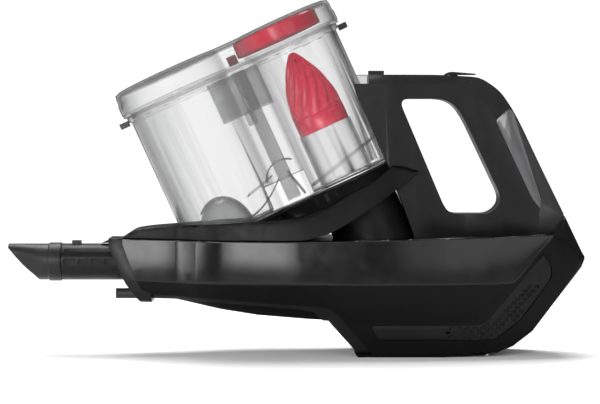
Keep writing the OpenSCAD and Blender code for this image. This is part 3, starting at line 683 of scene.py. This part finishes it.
def make_nose_collar():
    """The slanted ring round the tool's bore, with the latch's slot on top."""
    collar = body_loft("collar", x0=COLLAR_FRONT_X, x1=COLLAR_END_X, count=24)
    region = side_prism("tool", [*NOSE_SLANT, *reversed(COLLAR_LINE)])
    cut(collar, region, how="INTERSECT")
    cut(collar, rod_x(BORE_R, -160, BORE_END_X, TOOL_Z), rod_x(CONNECTOR_R, -160, -110, CONNECTOR_Z),
        box_solid("tool", *LATCH_SLOT), box_solid("tool", *LATCH_PIN_SLOT))
    done(collar, "vacuum", "collar", SATIN_BLACK, "nose_collar", ease=0.6)


def make_trim_and_belly():
    """The rail under the housing, and the pan below it, which is drawn in a little."""
    trim = cut(body_loft("trim_rail"), under_trim(), how="INTERSECT")
    cut(trim, body_loft("tool", WALL), under_belly(), foot_room(x1=70))
    done(trim, "vacuum", "trim", TRIM_GREY, "trim_strip", ease=0.4)
    pan = cut(body_loft("belly", BELLY_IN), under_belly(), how="INTERSECT")
    cut(pan, body_loft("tool", BELLY_IN + WALL))
    done(pan, "vacuum", "belly", BELLY_BLACK, "belly_pan", ease=0.5)


make_housing()
make_nose_collar()
make_trim_and_belly()


# ---------------- exhaust grilles

GRILLE_T = 1.8
VENT_GAP = 0.25
SLOT_LEN, SLOT_H, SLOT_PITCH, ROW_PITCH = 4.4, 2.5, 6.2, 3.3
SLOT_ROWS, SLOT_COLUMNS = 16, 14
FIRST_SLOT_X, FIRST_SLOT_Z = 119, 16.6
SLOT_FIELD = [(121, 24.2), (121, 15.2), (158, 15.2), (177, 31), (196, 55), (186, 60), (168, 38),
              (151, 25.5)]


def inside(point, outline):
    """Whether a point lies in a polygon."""
    x, z = point
    hits = 0
    for (x0, z0), (x1, z1) in zip(outline, outline[1:] + outline[:1]):
        if (z0 > z) != (z1 > z) and x < x0 + (z - z0) * (x1 - x0) / (z1 - z0):
            hits += 1
    return hits % 2 == 1


def slot_prisms():
    """Staggered slots over the part of the grille that is open, as one cutter."""
    prisms = []
    end, r = (SLOT_LEN - SLOT_H) / 2, SLOT_H / 2
    angles = [math.pi * (k / 5 - 0.5) for k in range(6)]
    for row in range(SLOT_ROWS):
        z = FIRST_SLOT_Z + row * ROW_PITCH
        for column in range(SLOT_COLUMNS):
            x = FIRST_SLOT_X + (column + row % 2 / 2) * SLOT_PITCH
            if not inside((x, z), SLOT_FIELD):
                continue
            ring = [(x + end + r * math.cos(a), z + r * math.sin(a)) for a in angles]
            ring += [(x - end - r * math.cos(a), z - r * math.sin(a)) for a in angles]
            prisms.append(side_prism("slot", ring))
    return join("slots", *prisms)


def make_grilles():
    """A slotted plate in each vent, set back from the housing's skin."""
    plate = cut(body_loft("grille", GRILLE_T / 2, x0=50, x1=225),
                body_loft("tool", 1.6 * GRILLE_T, x0=49, x1=226))
    vent = side_prism("tool", rounded(inset(VENT, VENT_GAP), VENT_EASE, 3))
    cut(plate, vent, how="INTERSECT")
    cut(plate, slot_prisms(), box_solid("tool", (0, -FAR, -5), (230, FAR, FOOT_PLATE_Z)))
    left, right = split(plate, "grille_left", "grille_right")
    done(left, "vacuum", "grille", GRILLE_BLACK, "vent_grille_left", ease=0.3, clean=False)
    done(right, "vacuum", "grille", GRILLE_BLACK, "vent_grille_right", ease=0.3, clean=False)


make_grilles()


# ---------------- deck and handle

HANDLE = [(46, 225.9), (50.7, 208.4), (73.6, 156.6), (84.4, 128), (96.4, 95), (207, 95),
          (217.1, 112.2), (197.3, 152.8), (178.2, 193.6), (165.5, 212.7), (152.7, 221.7),
          (145.9, 224.2), (116, 225.9)]
HANDLE_EASE = [0.6, 8, 8, 8, 0.6, 0.6, 3, 18, 16, 8, 6, 6, 10]
FINGERS = [(83.2, 206.6), (120.8, 118.4), (127, 113.6), (158, 113.6), (167.5, 124.5), (136, 191),
           (128, 202), (118, 206.6)]
FINGER_EASE = [9, 7, 6, 7, 10, 9, 9, 9]
HANDLE_PLAN = [(40, 24), (84, 24), (126, 18), (180, 18), (222, 23), (222, -23), (180, -18),
               (126, -18), (84, -24), (40, -24)]
PLAN_EASE = [1, 12, 12, 12, 1, 1, 12, 12, 12, 1]
PLATE = [(161.5, 189.5), (191, 126), (197.5, 118), (198.5, 124), (175.5, 196.5), (172.5, 199)]
PLATE_EASE = [3, 3, 2, 3, 2, 3]
COVER_Z, COVER_X0, COVER_X1 = 218.6, 59.0, 140.0
BUTTON_HOLE = [(59.1, -8.4, 200), (72.4, 8.4, 240)]
BUTTON_END = [(40, -8.4, 200), (60, 8.4, 222)]
SWITCH_HOLE = [(117.6, -2.4, 200), (132.4, 2.4, 240)]
PLATE_Y = 16.4
CUP_WALL, CUP_V0, SKIRT_V1 = 2.6, 85, 160


def handle_form(name, t=0.0, soft=5.0):
    """The handle drawn in by t: its side outline, less the finger opening, within its plan."""
    form = side_prism(name, rounded(inset(HANDLE, t), HANDLE_EASE, 5))
    hole = side_prism("tool", rounded(inset(FINGERS, -t), FINGER_EASE, 6), -110, 110)
    plan = plan_prism("tool", rounded(inset(HANDLE_PLAN, t), PLAN_EASE, 5))
    cut(form, hole)
    cut(form, plan, how="INTERSECT")
    if soft:
        ease_edges(form, soft, 4, 50, clean=False)
        bake_modifiers(form)
    return form


def hollow_handle():
    """The room inside the handle, with a wall left round the bin."""
    return cut(handle_form("hollow", WALL, 0), bin_room(GAP + WALL))


def top_box(x0, x1):
    """The top slice of the handle from x0 to x1, as a cutter."""
    return box_solid("tool", (x0, -50, COVER_Z), (x1, 50, 240))


def make_grips(form, hollow, plate_cut):
    """The two halves of the handle, hollow, with a seat for each grip plate."""
    cut(form, hollow, keep=True)
    cut(form, bin_room(GAP), body_loft("tool"), pod_room(), top_box(0, COVER_X1), plate_cut)
    left, right = split(form, "grip_left", "grip_right")
    done(left, "vacuum", "handle", HANDLE_BLACK, "handle_left", ease=0.5, angle=34, clean=False)
    done(right, "vacuum", "handle", HANDLE_BLACK, "handle_right", ease=0.5, angle=34, clean=False)


def make_grip_plates(plates):
    """The charcoal plates in the sides of the grip."""
    left, right = split(plates, "plate_left", "plate_right")
    done(left, "vacuum", "plate", PLATE_GREY, "grip_plate_left", ease=0.4, angle=34)
    done(right, "vacuum", "plate", PLATE_GREY, "grip_plate_right", ease=0.4, angle=34)


def make_top_cover(cover, hollow):
    """The cover on top of the handle, with holes for the release button and the switch."""
    cut(cover, hollow, keep=True)
    cut(cover, box_solid("tool", *BUTTON_HOLE), box_solid("tool", *SWITCH_HOLE))
    done(cover, "vacuum", "handle", HANDLE_BLACK, "handle_top_cover", ease=0.35, angle=34)


def make_latch_window(window, hollow):
    """The smoky end of the cover, next to the bin."""
    cut(window, hollow, bin_room(GAP), box_solid("tool", *BUTTON_END))
    done(window, "vacuum", "smoke_clear", SMOKE, "latch_window", ease=0.35, angle=34)


def make_handle():
    """One form gives the grips, the grip plates, the top cover and the latch window."""
    form = handle_form("handle")
    hollow = hollow_handle()
    plate_cut = side_prism("plate_cut", rounded(PLATE, PLATE_EASE, 4))
    cut(plate_cut, box_solid("tool", (100, -PLATE_Y, 90), (230, PLATE_Y, 230)))
    plates = cut(copy_of(form, "plates"), plate_cut, how="INTERSECT", keep=True)
    cover = cut(copy_of(form, "cover"), top_box(COVER_X0 + 0.1, COVER_X1), how="INTERSECT")
    window = cut(copy_of(form, "window"), top_box(0, COVER_X0), how="INTERSECT")
    make_grips(form, hollow, plate_cut)
    make_grip_plates(plates)
    make_top_cover(cover, hollow)
    make_latch_window(window, hollow)


def deck_side(column, shift, far_z):
    """Everything between one edge of the deck, moved by shift, and far_z, as a cutter."""
    line = [(row[0], row[column] + shift) for row in DECK]
    return side_prism("tool", [*line, (DECK[-1, 0], far_z), (DECK[0, 0], far_z)])


def make_deck():
    """The wing with the cup that the bin sits in, and a skirt down to the pod."""
    deck = deck_loft("wing")
    cut(deck, deck_loft("tool", WALL))
    cup = bin_prism("tool", lobes(GAP + CUP_WALL), CUP_V0, CRADLE_V + 2)
    cut(cup, deck_side(3, -0.3, 40), how="INTERSECT")
    sill = bin_prism("tool", lobes(-0.5), CRADLE_V, CRADLE_V + 2)
    skirt = cut(bin_prism("tool", lobes(-0.5), CRADLE_V, SKIRT_V1),
                bin_prism("tool", lobes(-2.5), CRADLE_V - 1, SKIRT_V1 + 1))
    cut(skirt, deck_side(1, 1, 200), how="INTERSECT")
    cut(deck, cup, sill, skirt, how="UNION")
    handle_foot = side_prism("tool", rounded(inset(HANDLE, -0.05), HANDLE_EASE, 5), -24.4, 24.4)
    cut(deck, bin_room(GAP), *ports(110, 140), handle_foot, pod_room(v0=CRADLE_V + 2.4),
        box_solid("tool", (-160, -LATCH_HALF, 80), (-120, LATCH_HALF, 120)))
    done(deck, "vacuum", "deck", DECK_BLACK, "top_deck", ease=0.4)


make_handle()
make_deck()


# ---------------- dust bin

BIN_WALL, FOOT_EASE, FLOOR_V = 2.0, 2.2, 120.0
CONE_V0, CONE_BASE_V, CONE_R, CONE_NOSE_R = 10.0, 62.5, 21.4, 2.0
FLUTES, FLUTE_STEPS, FLUTE_LEVELS, FLUTE_DEPTH, FLUTE_TWIST = 13, 14, 40, 3.4, 1.25
CLEAR_R, CLEAR_T, CLEAR_V0 = 22.4, 1.6, 76.0
DUCT_U0, DUCT_U1, DUCT_HALF, DUCT_V0, DUCT_V1, DUCT_WALL = 68, 112, 13, 6.5, 40, 1.6
LID_LINE = [(5, 0), (5, -7), (4, -10), (4, -14.0), (3.2, -17.2), (0, -18.4)]
LID_ROOM = [(3, 1), (3, -6.6), (2, -9.6), (2, -13.4), (1.4, -15.4), (-1, -16.4)]
CAP_U = REAR_U - 4.5
PLATE_T = 1.4


def side_slab(u0, v0, u1, v1):
    """A sloping plate across the bin, as a prism along Y between two (u, v) points."""
    corners = [(u0, v0), (u1, v1), (u1, v1 + PLATE_T), (u0, v0 + PLATE_T)]
    return loft("plate", [[bin_point(u, y, v) for u, v in corners] for y in (-60, 60)])


def bin_box(name, u0, u1, y0, y1, v0, v1):
    """A box in the bin's frame."""
    return bin_prism(name, [(u0, y0), (u1, y0), (u1, y1), (u0, y1)], v0, v1)


def make_bin_shell():
    """Two clear lobes with a rim on top, a thick foot in the neck, and a port in each floor."""
    shell = bin_loft("dust_shell", [(0, BIN_TOP_V), (0, BIN_END_V - FOOT_EASE),
                                    (-0.7, BIN_END_V - 0.7), (-FOOT_EASE, BIN_END_V)])
    rim = bin_loft("rim", [(2.4, BIN_TOP_V), (2.4, 6.2), (1.6, 7.0), (0.2, 7.8), (-1.0, 7.8),
                           (-1.0, BIN_TOP_V)])
    cut(shell, rim, how="UNION")
    room = bin_loft("tool", [(-BIN_WALL, 2.0), (-BIN_WALL, FLOOR_V - 2.6), (-3.0, FLOOR_V - 0.8),
                             (-4.8, FLOOR_V)])
    cut(room, bin_box("tool", FRONT_U + 30, REAR_U - 30, -50, 50, 100, 124))
    cut(shell, room, *ports(90, 130))
    done(shell, "bin", "clear", CLEAR, "bin_shell", ease=0.45, clean=False)


def make_inner_plates():
    """The ramp in the front lobe, and the sloping plate round the clear tube in the rear one."""
    front = cut(side_slab(62, 100, 86, 93.5),
                bin_prism("tool", circle(FRONT_U, 43.5), 60, 118), how="INTERSECT")
    front.name = "ramp_plate"
    done(front, "bin", "clear", CLEAR_THIN, "bin_ramp", ease=0.25, clean=False)
    rear = cut(side_slab(112, 114.3, 176, 98.5),
               bin_prism("tool", circle(REAR_U, 39), 60, 119), how="INTERSECT")
    cut(rear, bin_prism("tool", circle(REAR_U, CLEAR_R + 0.1), 60, 130))
    rear.name = "floor_plate"
    done(rear, "bin", "clear", CLEAR_THIN, "separator_floor", ease=0.25, clean=False)


def make_clear_tube():
    """The clear tube that stands under the cone."""
    inner, shoulder = CLEAR_R - CLEAR_T, CLEAR_V0 + 0.4
    profile = [(CLEAR_R, shoulder), (CLEAR_R, FLOOR_V), (inner, FLOOR_V), (inner, shoulder),
               (CLEAR_R - CLEAR_T / 2, CLEAR_V0)]
    tube = turned("inner_tube", REAR_U, profile)
    done(tube, "bin", "clear", CLEAR_THIN, "clear_tube", ease=0)


def make_duct():
    """The open box that leads air from the front lobe to the cone."""
    duct = bin_box("baffle_duct", DUCT_U0, DUCT_U1, -DUCT_HALF, DUCT_HALF, DUCT_V0, DUCT_V1)
    room_half = DUCT_HALF - DUCT_WALL
    cut(duct, bin_box("tool", DUCT_U0 - 2, DUCT_U1 + 2, -room_half, room_half,
                      DUCT_V0 + DUCT_WALL, DUCT_V1 - DUCT_WALL))
    done(duct, "bin", "clear", SMOKE_THIN, "transfer_duct", ease=0.5, clean=False)


def ogive(f):
    """The cone's radius, at a share of the way from its nose to its band."""
    return CONE_NOSE_R + (CONE_R - CONE_NOSE_R) * math.sin(math.pi / 2 * f ** 0.84)


def make_cone():
    """A blunt ogive with spiral flutes over a plain band, hollow from below."""
    steps = FLUTES * FLUTE_STEPS
    angles = [2 * math.pi * i / steps for i in range(steps)]
    levels = [([0] * steps, CONE_V0)]
    for k in range(FLUTE_LEVELS + 1):
        f = k / FLUTE_LEVELS
        depth = FLUTE_DEPTH * min(1, 6 * f) * min(1, 9 * (1 - f))
        waves = [abs(math.cos(FLUTES / 2 * (a + FLUTE_TWIST * f))) for a in angles]
        levels.append(([ogive(f) - depth * (1 - wave) for wave in waves],
                       CONE_V0 + (CONE_BASE_V - CONE_V0) * f))
    band = [(CONE_R - 0.5, CONE_BASE_V + 0.4), (CONE_R, CONE_BASE_V + 1.0), (CONE_R, CLEAR_V0),
            (CONE_R - 1.8, CLEAR_V0), (CONE_R - 1.8, CONE_BASE_V), (12, 28), (3, 15)]
    levels += [([r] * steps, v) for r, v in band]
    cone = loft("filter_cone", [[bin_point(REAR_U + r * math.cos(a), r * math.sin(a), v)
                                 for a, r in zip(angles, radii)] for radii, v in levels])
    weld(cone)
    done(cone, "cone", "crimson", CRIMSON, "cone_filter", ease=0, smooth=50)


def make_lid():
    """The clear lid: a dished shell over both lobes, open below."""
    lid = cut(bin_loft("lid_shell", LID_LINE), bin_loft("tool", LID_ROOM))
    done(lid, "lid", "clear", CLEAR, "bin_lid", ease=0.5, clean=False)


def make_lid_insert():
    """The red cap inside the lid: a shallow dish with a raised ring, open below."""
    profile = [(0, -16.2), (33.5, -16.2), (35.6, -15.6), (36.5, -14.2), (36.5, -3.5), (34.5, -3.5),
               (34.5, -13.0), (30, -13.6), (29, -12.2), (27.4, -12.2), (26.4, -13.6), (0, -13.6)]
    dish = turned("red_cap", CAP_U, profile, 72)
    weld(dish)
    done(dish, "lid", "red_clear", RED_CLEAR, "lid_insert", ease=0)


make_bin_shell()
make_inner_plates()
make_clear_tube()
make_duct()
make_cone()
make_lid()
make_lid_insert()


def make_neck_strips():
    """Smoky ribs where the two lobes meet the neck, one on each side."""
    for side, name in ((-1, "neck_strip_left"), (1, "neck_strip_right")):
        y0, y1 = sorted((side * 17.4, side * 19.6))
        strip = bin_box(name, 90, 101, y0, y1, 6, 118)
        done(strip, "bin", "smoke_clear", SMOKE_THIN, ease=0.5)


def make_duct_catch():
    """The small catch under the transfer duct."""
    catch = bin_box("duct_catch", 86, 94, -5, 5, 38.6, 50)
    done(catch, "bin", "smoke_clear", SMOKE, ease=0.8)


def ribbon(name, line, y_half, thick=1.2):
    """A bent clear plate across the bin, following a (u, v) line."""
    line = [Vector(p) for p in line]
    rings = []
    for i, p in enumerate(line):
        way = (line[min(i + 1, len(line) - 1)] - line[max(i - 1, 0)]).normalized()
        side = Vector((-way.y, way.x)) * thick / 2
        corners = [(p + side, -y_half), (p + side, y_half), (p - side, y_half), (p - side, -y_half)]
        rings.append([bin_point(q.x, y, q.y) for q, y in corners])
    plate = loft(name, rings)
    done(plate, "bin", "clear", GUIDE, ease=0)


def make_scroll_guides():
    """The curved guides that turn the air at the foot of the two lobes."""
    turn = [(96 + 16 * math.cos(a), 100 + 15 * math.sin(a)) for a in np.linspace(3.3, 5.4, 16)]
    ribbon("scroll_guide", turn, 15)
    sweep = [(56 + 34 * t, 117.5 - 19 * t ** 1.7) for t in np.linspace(0, 1, 14)]
    ribbon("sweep_guide", sweep, 18)
    wall = [(99 + 6 * t, 96 + 22 * t) for t in np.linspace(0, 1, 6)]
    ribbon("guide_wall", wall, 16, 1.6)


make_neck_strips()
make_duct_catch()
make_scroll_guides()


# ---------------- crevice tool

TOOL_TIP_X = -233.2
RING_X0, RING_X1, TUBE_X1 = TOOL_TIP_X + 33, TOOL_TIP_X + 43.5, BORE_END_X - 2
RING_R, RING_BORE_R, RING_EASE = 15.6, 12.6, 0.8
MOUTH_W, NOZZLE_H, TOOL_WALL = 15.0, 29.4, 1.8
NOZZLE_LEVELS, SLOT_STEPS = 14, 48
MOUTH = [(-240, 86), (-240, 40), (-204, 40), (-206, 59.6), (-222, 73), (TOOL_TIP_X - 1, 87)]
MOUTH_EASE = [0, 0, 0, 9, 9, 3]
TUBE_BORE_R = 13.0
WINDOW_XS = (-187.0, -175.7, -165.3, -154.9)
WINDOW_LEN, WINDOW_Z0, WINDOW_Z1, WINDOW_DEPTH = 9.8, TOOL_Z - 1.8, TOOL_Z + 3.2, 1.2
GROOVE_X1, GROOVE_Z0, GROOVE_Z1, GROOVE_DEPTH = -148, TOOL_Z + 8.3, TOOL_Z + 11.9, 4.8
CATCH_SLOT = [(-181.8, -3.9, TOOL_Z + 5), (-173.8, 3.9, 95)]


def slot_ring(x, half_w, half_h):
    """An upright outline at x: a slot with round ends, or a circle where both halves are equal."""
    straight = half_h - half_w
    ring = []
    for k in range(SLOT_STEPS):
        a = 2 * math.pi * (k + 0.5) / SLOT_STEPS
        ring.append((x, half_w * math.cos(a), TOOL_Z + half_w * math.sin(a)
                     + math.copysign(straight, math.sin(a))))
    return ring


def nozzle_loft(name, t=0.0, past=0.0):
    """The nozzle's form drawn in by t: from a slot to a circle, and past each end by a little."""
    x0, x1 = TOOL_TIP_X - past, RING_X0 + 2 + past
    rings = []
    for f in np.linspace(0, 1, NOZZLE_LEVELS):
        ease = f * f * (3 - 2 * f)
        half_w = (MOUTH_W + (NOZZLE_H - MOUTH_W) * ease) / 2
        rings.append(slot_ring(x0 + f * (x1 - x0), half_w - t, NOZZLE_H / 2 - t))
    return loft(name, rings)


def make_nozzle():
    """The tip, hollow and cut to a slanted mouth, with the ring that grips the tube."""
    nozzle = nozzle_loft("nozzle_tip")
    ring_in = RING_R - 0.6
    ring = turned_x("ring", [(ring_in, RING_X0), (RING_R, RING_X0 + RING_EASE),
                             (RING_R, RING_X1 - RING_EASE), (ring_in, RING_X1),
                             (RING_BORE_R, RING_X1), (RING_BORE_R, RING_X0)])
    cut(nozzle, nozzle_loft("tool", TOOL_WALL, past=0.6),
        rod_x(RING_BORE_R, RING_X0 - 0.5, RING_X1 + 1, TOOL_Z),
        side_prism("tool", rounded(MOUTH, MOUTH_EASE, 6)))
    cut(nozzle, ring, how="UNION")
    done(nozzle, "tool", "tool", TOOL_GREY, "crevice_nozzle", ease=0.35, clean=False)


def turned_x(name, profile):
    """A ring turned about the tool's axis, from a closed (radius, x) profile."""
    angles = np.arange(TURN_STEPS) * 2 * math.pi / TURN_STEPS
    return loft(name, [[(x, r * math.cos(a), TOOL_Z + r * math.sin(a)) for r, x in profile]
                       for a in angles], loop=True)


def window_cutter(x, side):
    """A shallow window in the tube's side that starts at x."""
    outline = rounded([(x, WINDOW_Z0), (x + WINDOW_LEN, WINDOW_Z0), (x + WINDOW_LEN, WINDOW_Z1),
                       (x, WINDOW_Z1)], 1.2, 3)
    return side_prism("tool", outline, *sorted((side * (TUBE_R - WINDOW_DEPTH), side * 24)))


def groove_cutter(side):
    """The long groove above the windows."""
    y0, y1 = sorted((side * (TUBE_R - GROOVE_DEPTH), side * 24))
    return box_solid("tool", (WINDOW_XS[0], y0, GROOVE_Z0), (GROOVE_X1, y1, GROOVE_Z1))


def make_tube():
    """The tube behind the nozzle: a row of dark windows and a groove on each side."""
    tube = turned_x("tube_shell", [(TUBE_R - 0.4, RING_X1), (TUBE_R, RING_X1 + 0.4),
                                   (TUBE_R, TUBE_X1 - 0.6), (TUBE_R - 0.6, TUBE_X1),
                                   (TUBE_BORE_R, TUBE_X1), (TUBE_BORE_R, RING_X1)])
    for side in (-1, 1):
        cut(tube, *[window_cutter(x, side) for x in WINDOW_XS], groove_cutter(side))
    cut(tube, box_solid("tool", *CATCH_SLOT))
    done(tube, "tool", "tool_tube", TUBE_GREY, "crevice_tube", ease=0.3, clean=False)
    tube.data.materials.append(RUBBER)
    for face in tube.data.polygons:
        depth = TUBE_R - abs(face.center.y) / MM
        in_window = abs(depth - WINDOW_DEPTH) < 0.1
        face.material_index = int(in_window and abs(face.normal.y) > 0.95)


make_nozzle()
make_tube()


# ---------------- button spring

SPRING_X, SPRING_Z0, SPRING_Z1 = 65.75, 211.3, 226.8
COIL_R, WIRE_R, COILS = 2.9, 0.4, 6
COIL_STEPS, WIRE_STEPS = 20, 8


def make_button_spring():
    """A coil of round wire under the release button. The real one shortens as the button goes in; this
    one is drawn at one length.
    """
    rise = SPRING_Z1 - SPRING_Z0 - 2 * WIRE_R
    rings = []
    for k in range(COILS * COIL_STEPS + 1):
        a = 2 * math.pi * k / COIL_STEPS
        z = SPRING_Z0 + WIRE_R + rise * k / (COILS * COIL_STEPS)
        ring = []
        for i in range(WIRE_STEPS):
            f = 2 * math.pi * i / WIRE_STEPS
            r = COIL_R + WIRE_R * math.cos(f)
            ring.append((SPRING_X + r * math.cos(a), r * math.sin(a), z + WIRE_R * math.sin(f)))
        rings.append(ring)
    spring = loft("button_spring", rings)
    done(spring, "vacuum", "spring_steel", STEEL, "release_spring", ease=0)
    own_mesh(spring)


make_button_spring()


# ---------------- floor, lights and camera (in m)

FLOOR_R, FLOOR_STEPS = 0.85, 128
WHITE_LEVEL, DIFFUSE_LEVEL, GLOSSY_LEVEL = 1.15, 0.27, 0.22
MIDDLE = (0, 0, 0.12)
LIGHTS = [
    # name, place, aim, width, height, power
    ("top", (-0.05, 0.62, 1.5), (0, 0.35, 0), 1.4, 1.0, 46),
    ("front left", (-0.5, -1.52, 0.42), MIDDLE, 0.8, 0.5, 17),
    ("far left", (-1.5, -0.62, 0.36), MIDDLE, 0.3, 0.6, 7),
    ("front right", (0.9, -1.45, 0.5), MIDDLE, 1.0, 0.8, 6),
]
CAMERA_AIM, CAMERA_FAR, CAMERA_UP = (0.0040, 0, 0.1228), 1.8, 2
LENS, SENSOR = 132.6, 36


def stage_floor():
    """A white disc that the object stands on."""
    angles = [2 * math.pi * k / FLOOR_STEPS for k in range(FLOOR_STEPS)]
    corners = [(FLOOR_R * math.cos(a), FLOOR_R * math.sin(a), 0) for a in angles]
    mesh = bpy.data.meshes.new("floor")
    mesh.from_pydata(corners, [], [range(FLOOR_STEPS)])
    floor = placed("floor", mesh)
    white = plastic("floor white", (0.94, 0.94, 0.94), 0.8, mottle=0.004, sheen=0)
    floor.data.materials.append(white)


def panel(name, place, aim, width, height, power):
    """A soft rectangular light at place, turned to aim."""
    light = bpy.data.lights.new(name, "AREA")
    light.shape, light.size, light.size_y, light.energy = "RECTANGLE", width, height, power
    obj = placed(name, light)
    obj.location = place
    obj.rotation_euler = (Vector(aim) - Vector(place)).to_track_quat("-Z", "Y").to_euler()


def studio():
    """A world that is white where it is seen and dim where it lights things, and soft lights."""
    world = bpy.data.worlds.new("studio")
    world.use_nodes = True
    nodes, link = world.node_tree.nodes, world.node_tree.links.new
    rays = nodes.new("ShaderNodeLightPath")
    seen = nodes["Background"].outputs["Background"]
    nodes["Background"].inputs["Color"].default_value = (1, 1, 1, 1)
    nodes["Background"].inputs["Strength"].default_value = WHITE_LEVEL
    for kind, level in (("Is Diffuse Ray", DIFFUSE_LEVEL), ("Is Glossy Ray", GLOSSY_LEVEL)):
        other = nodes.new("ShaderNodeBackground")
        other.inputs["Color"].default_value = (level, level, level, 1)
        pick = nodes.new("ShaderNodeMixShader")
        link(rays.outputs[kind], pick.inputs["Fac"])
        link(seen, pick.inputs[1])
        link(other.outputs["Background"], pick.inputs[2])
        seen = pick.outputs["Shader"]
    link(seen, nodes["World Output"].inputs["Surface"])
    bpy.context.scene.world = world
    for light in LIGHTS:
        panel(*light)


def photo_camera():
    """The photo's view: square on to the left side, from slightly above."""
    target, up = Vector(CAMERA_AIM), math.radians(CAMERA_UP)
    cam = placed("camera", bpy.data.cameras.new("camera"))
    cam.data.lens, cam.data.sensor_width = LENS, SENSOR
    cam.data.clip_start, cam.data.clip_end = 0.05, 20
    cam.location = target + CAMERA_FAR * Vector((0, -math.cos(up), math.sin(up)))
    cam.rotation_euler = (target - cam.location).to_track_quat("-Z", "Y").to_euler()
    bpy.context.scene.camera = cam


stage_floor()
studio()
photo_camera()
bpy.context.scene.view_settings.view_transform = "Standard"
bpy.context.scene.cycles.transparent_max_bounces = 32
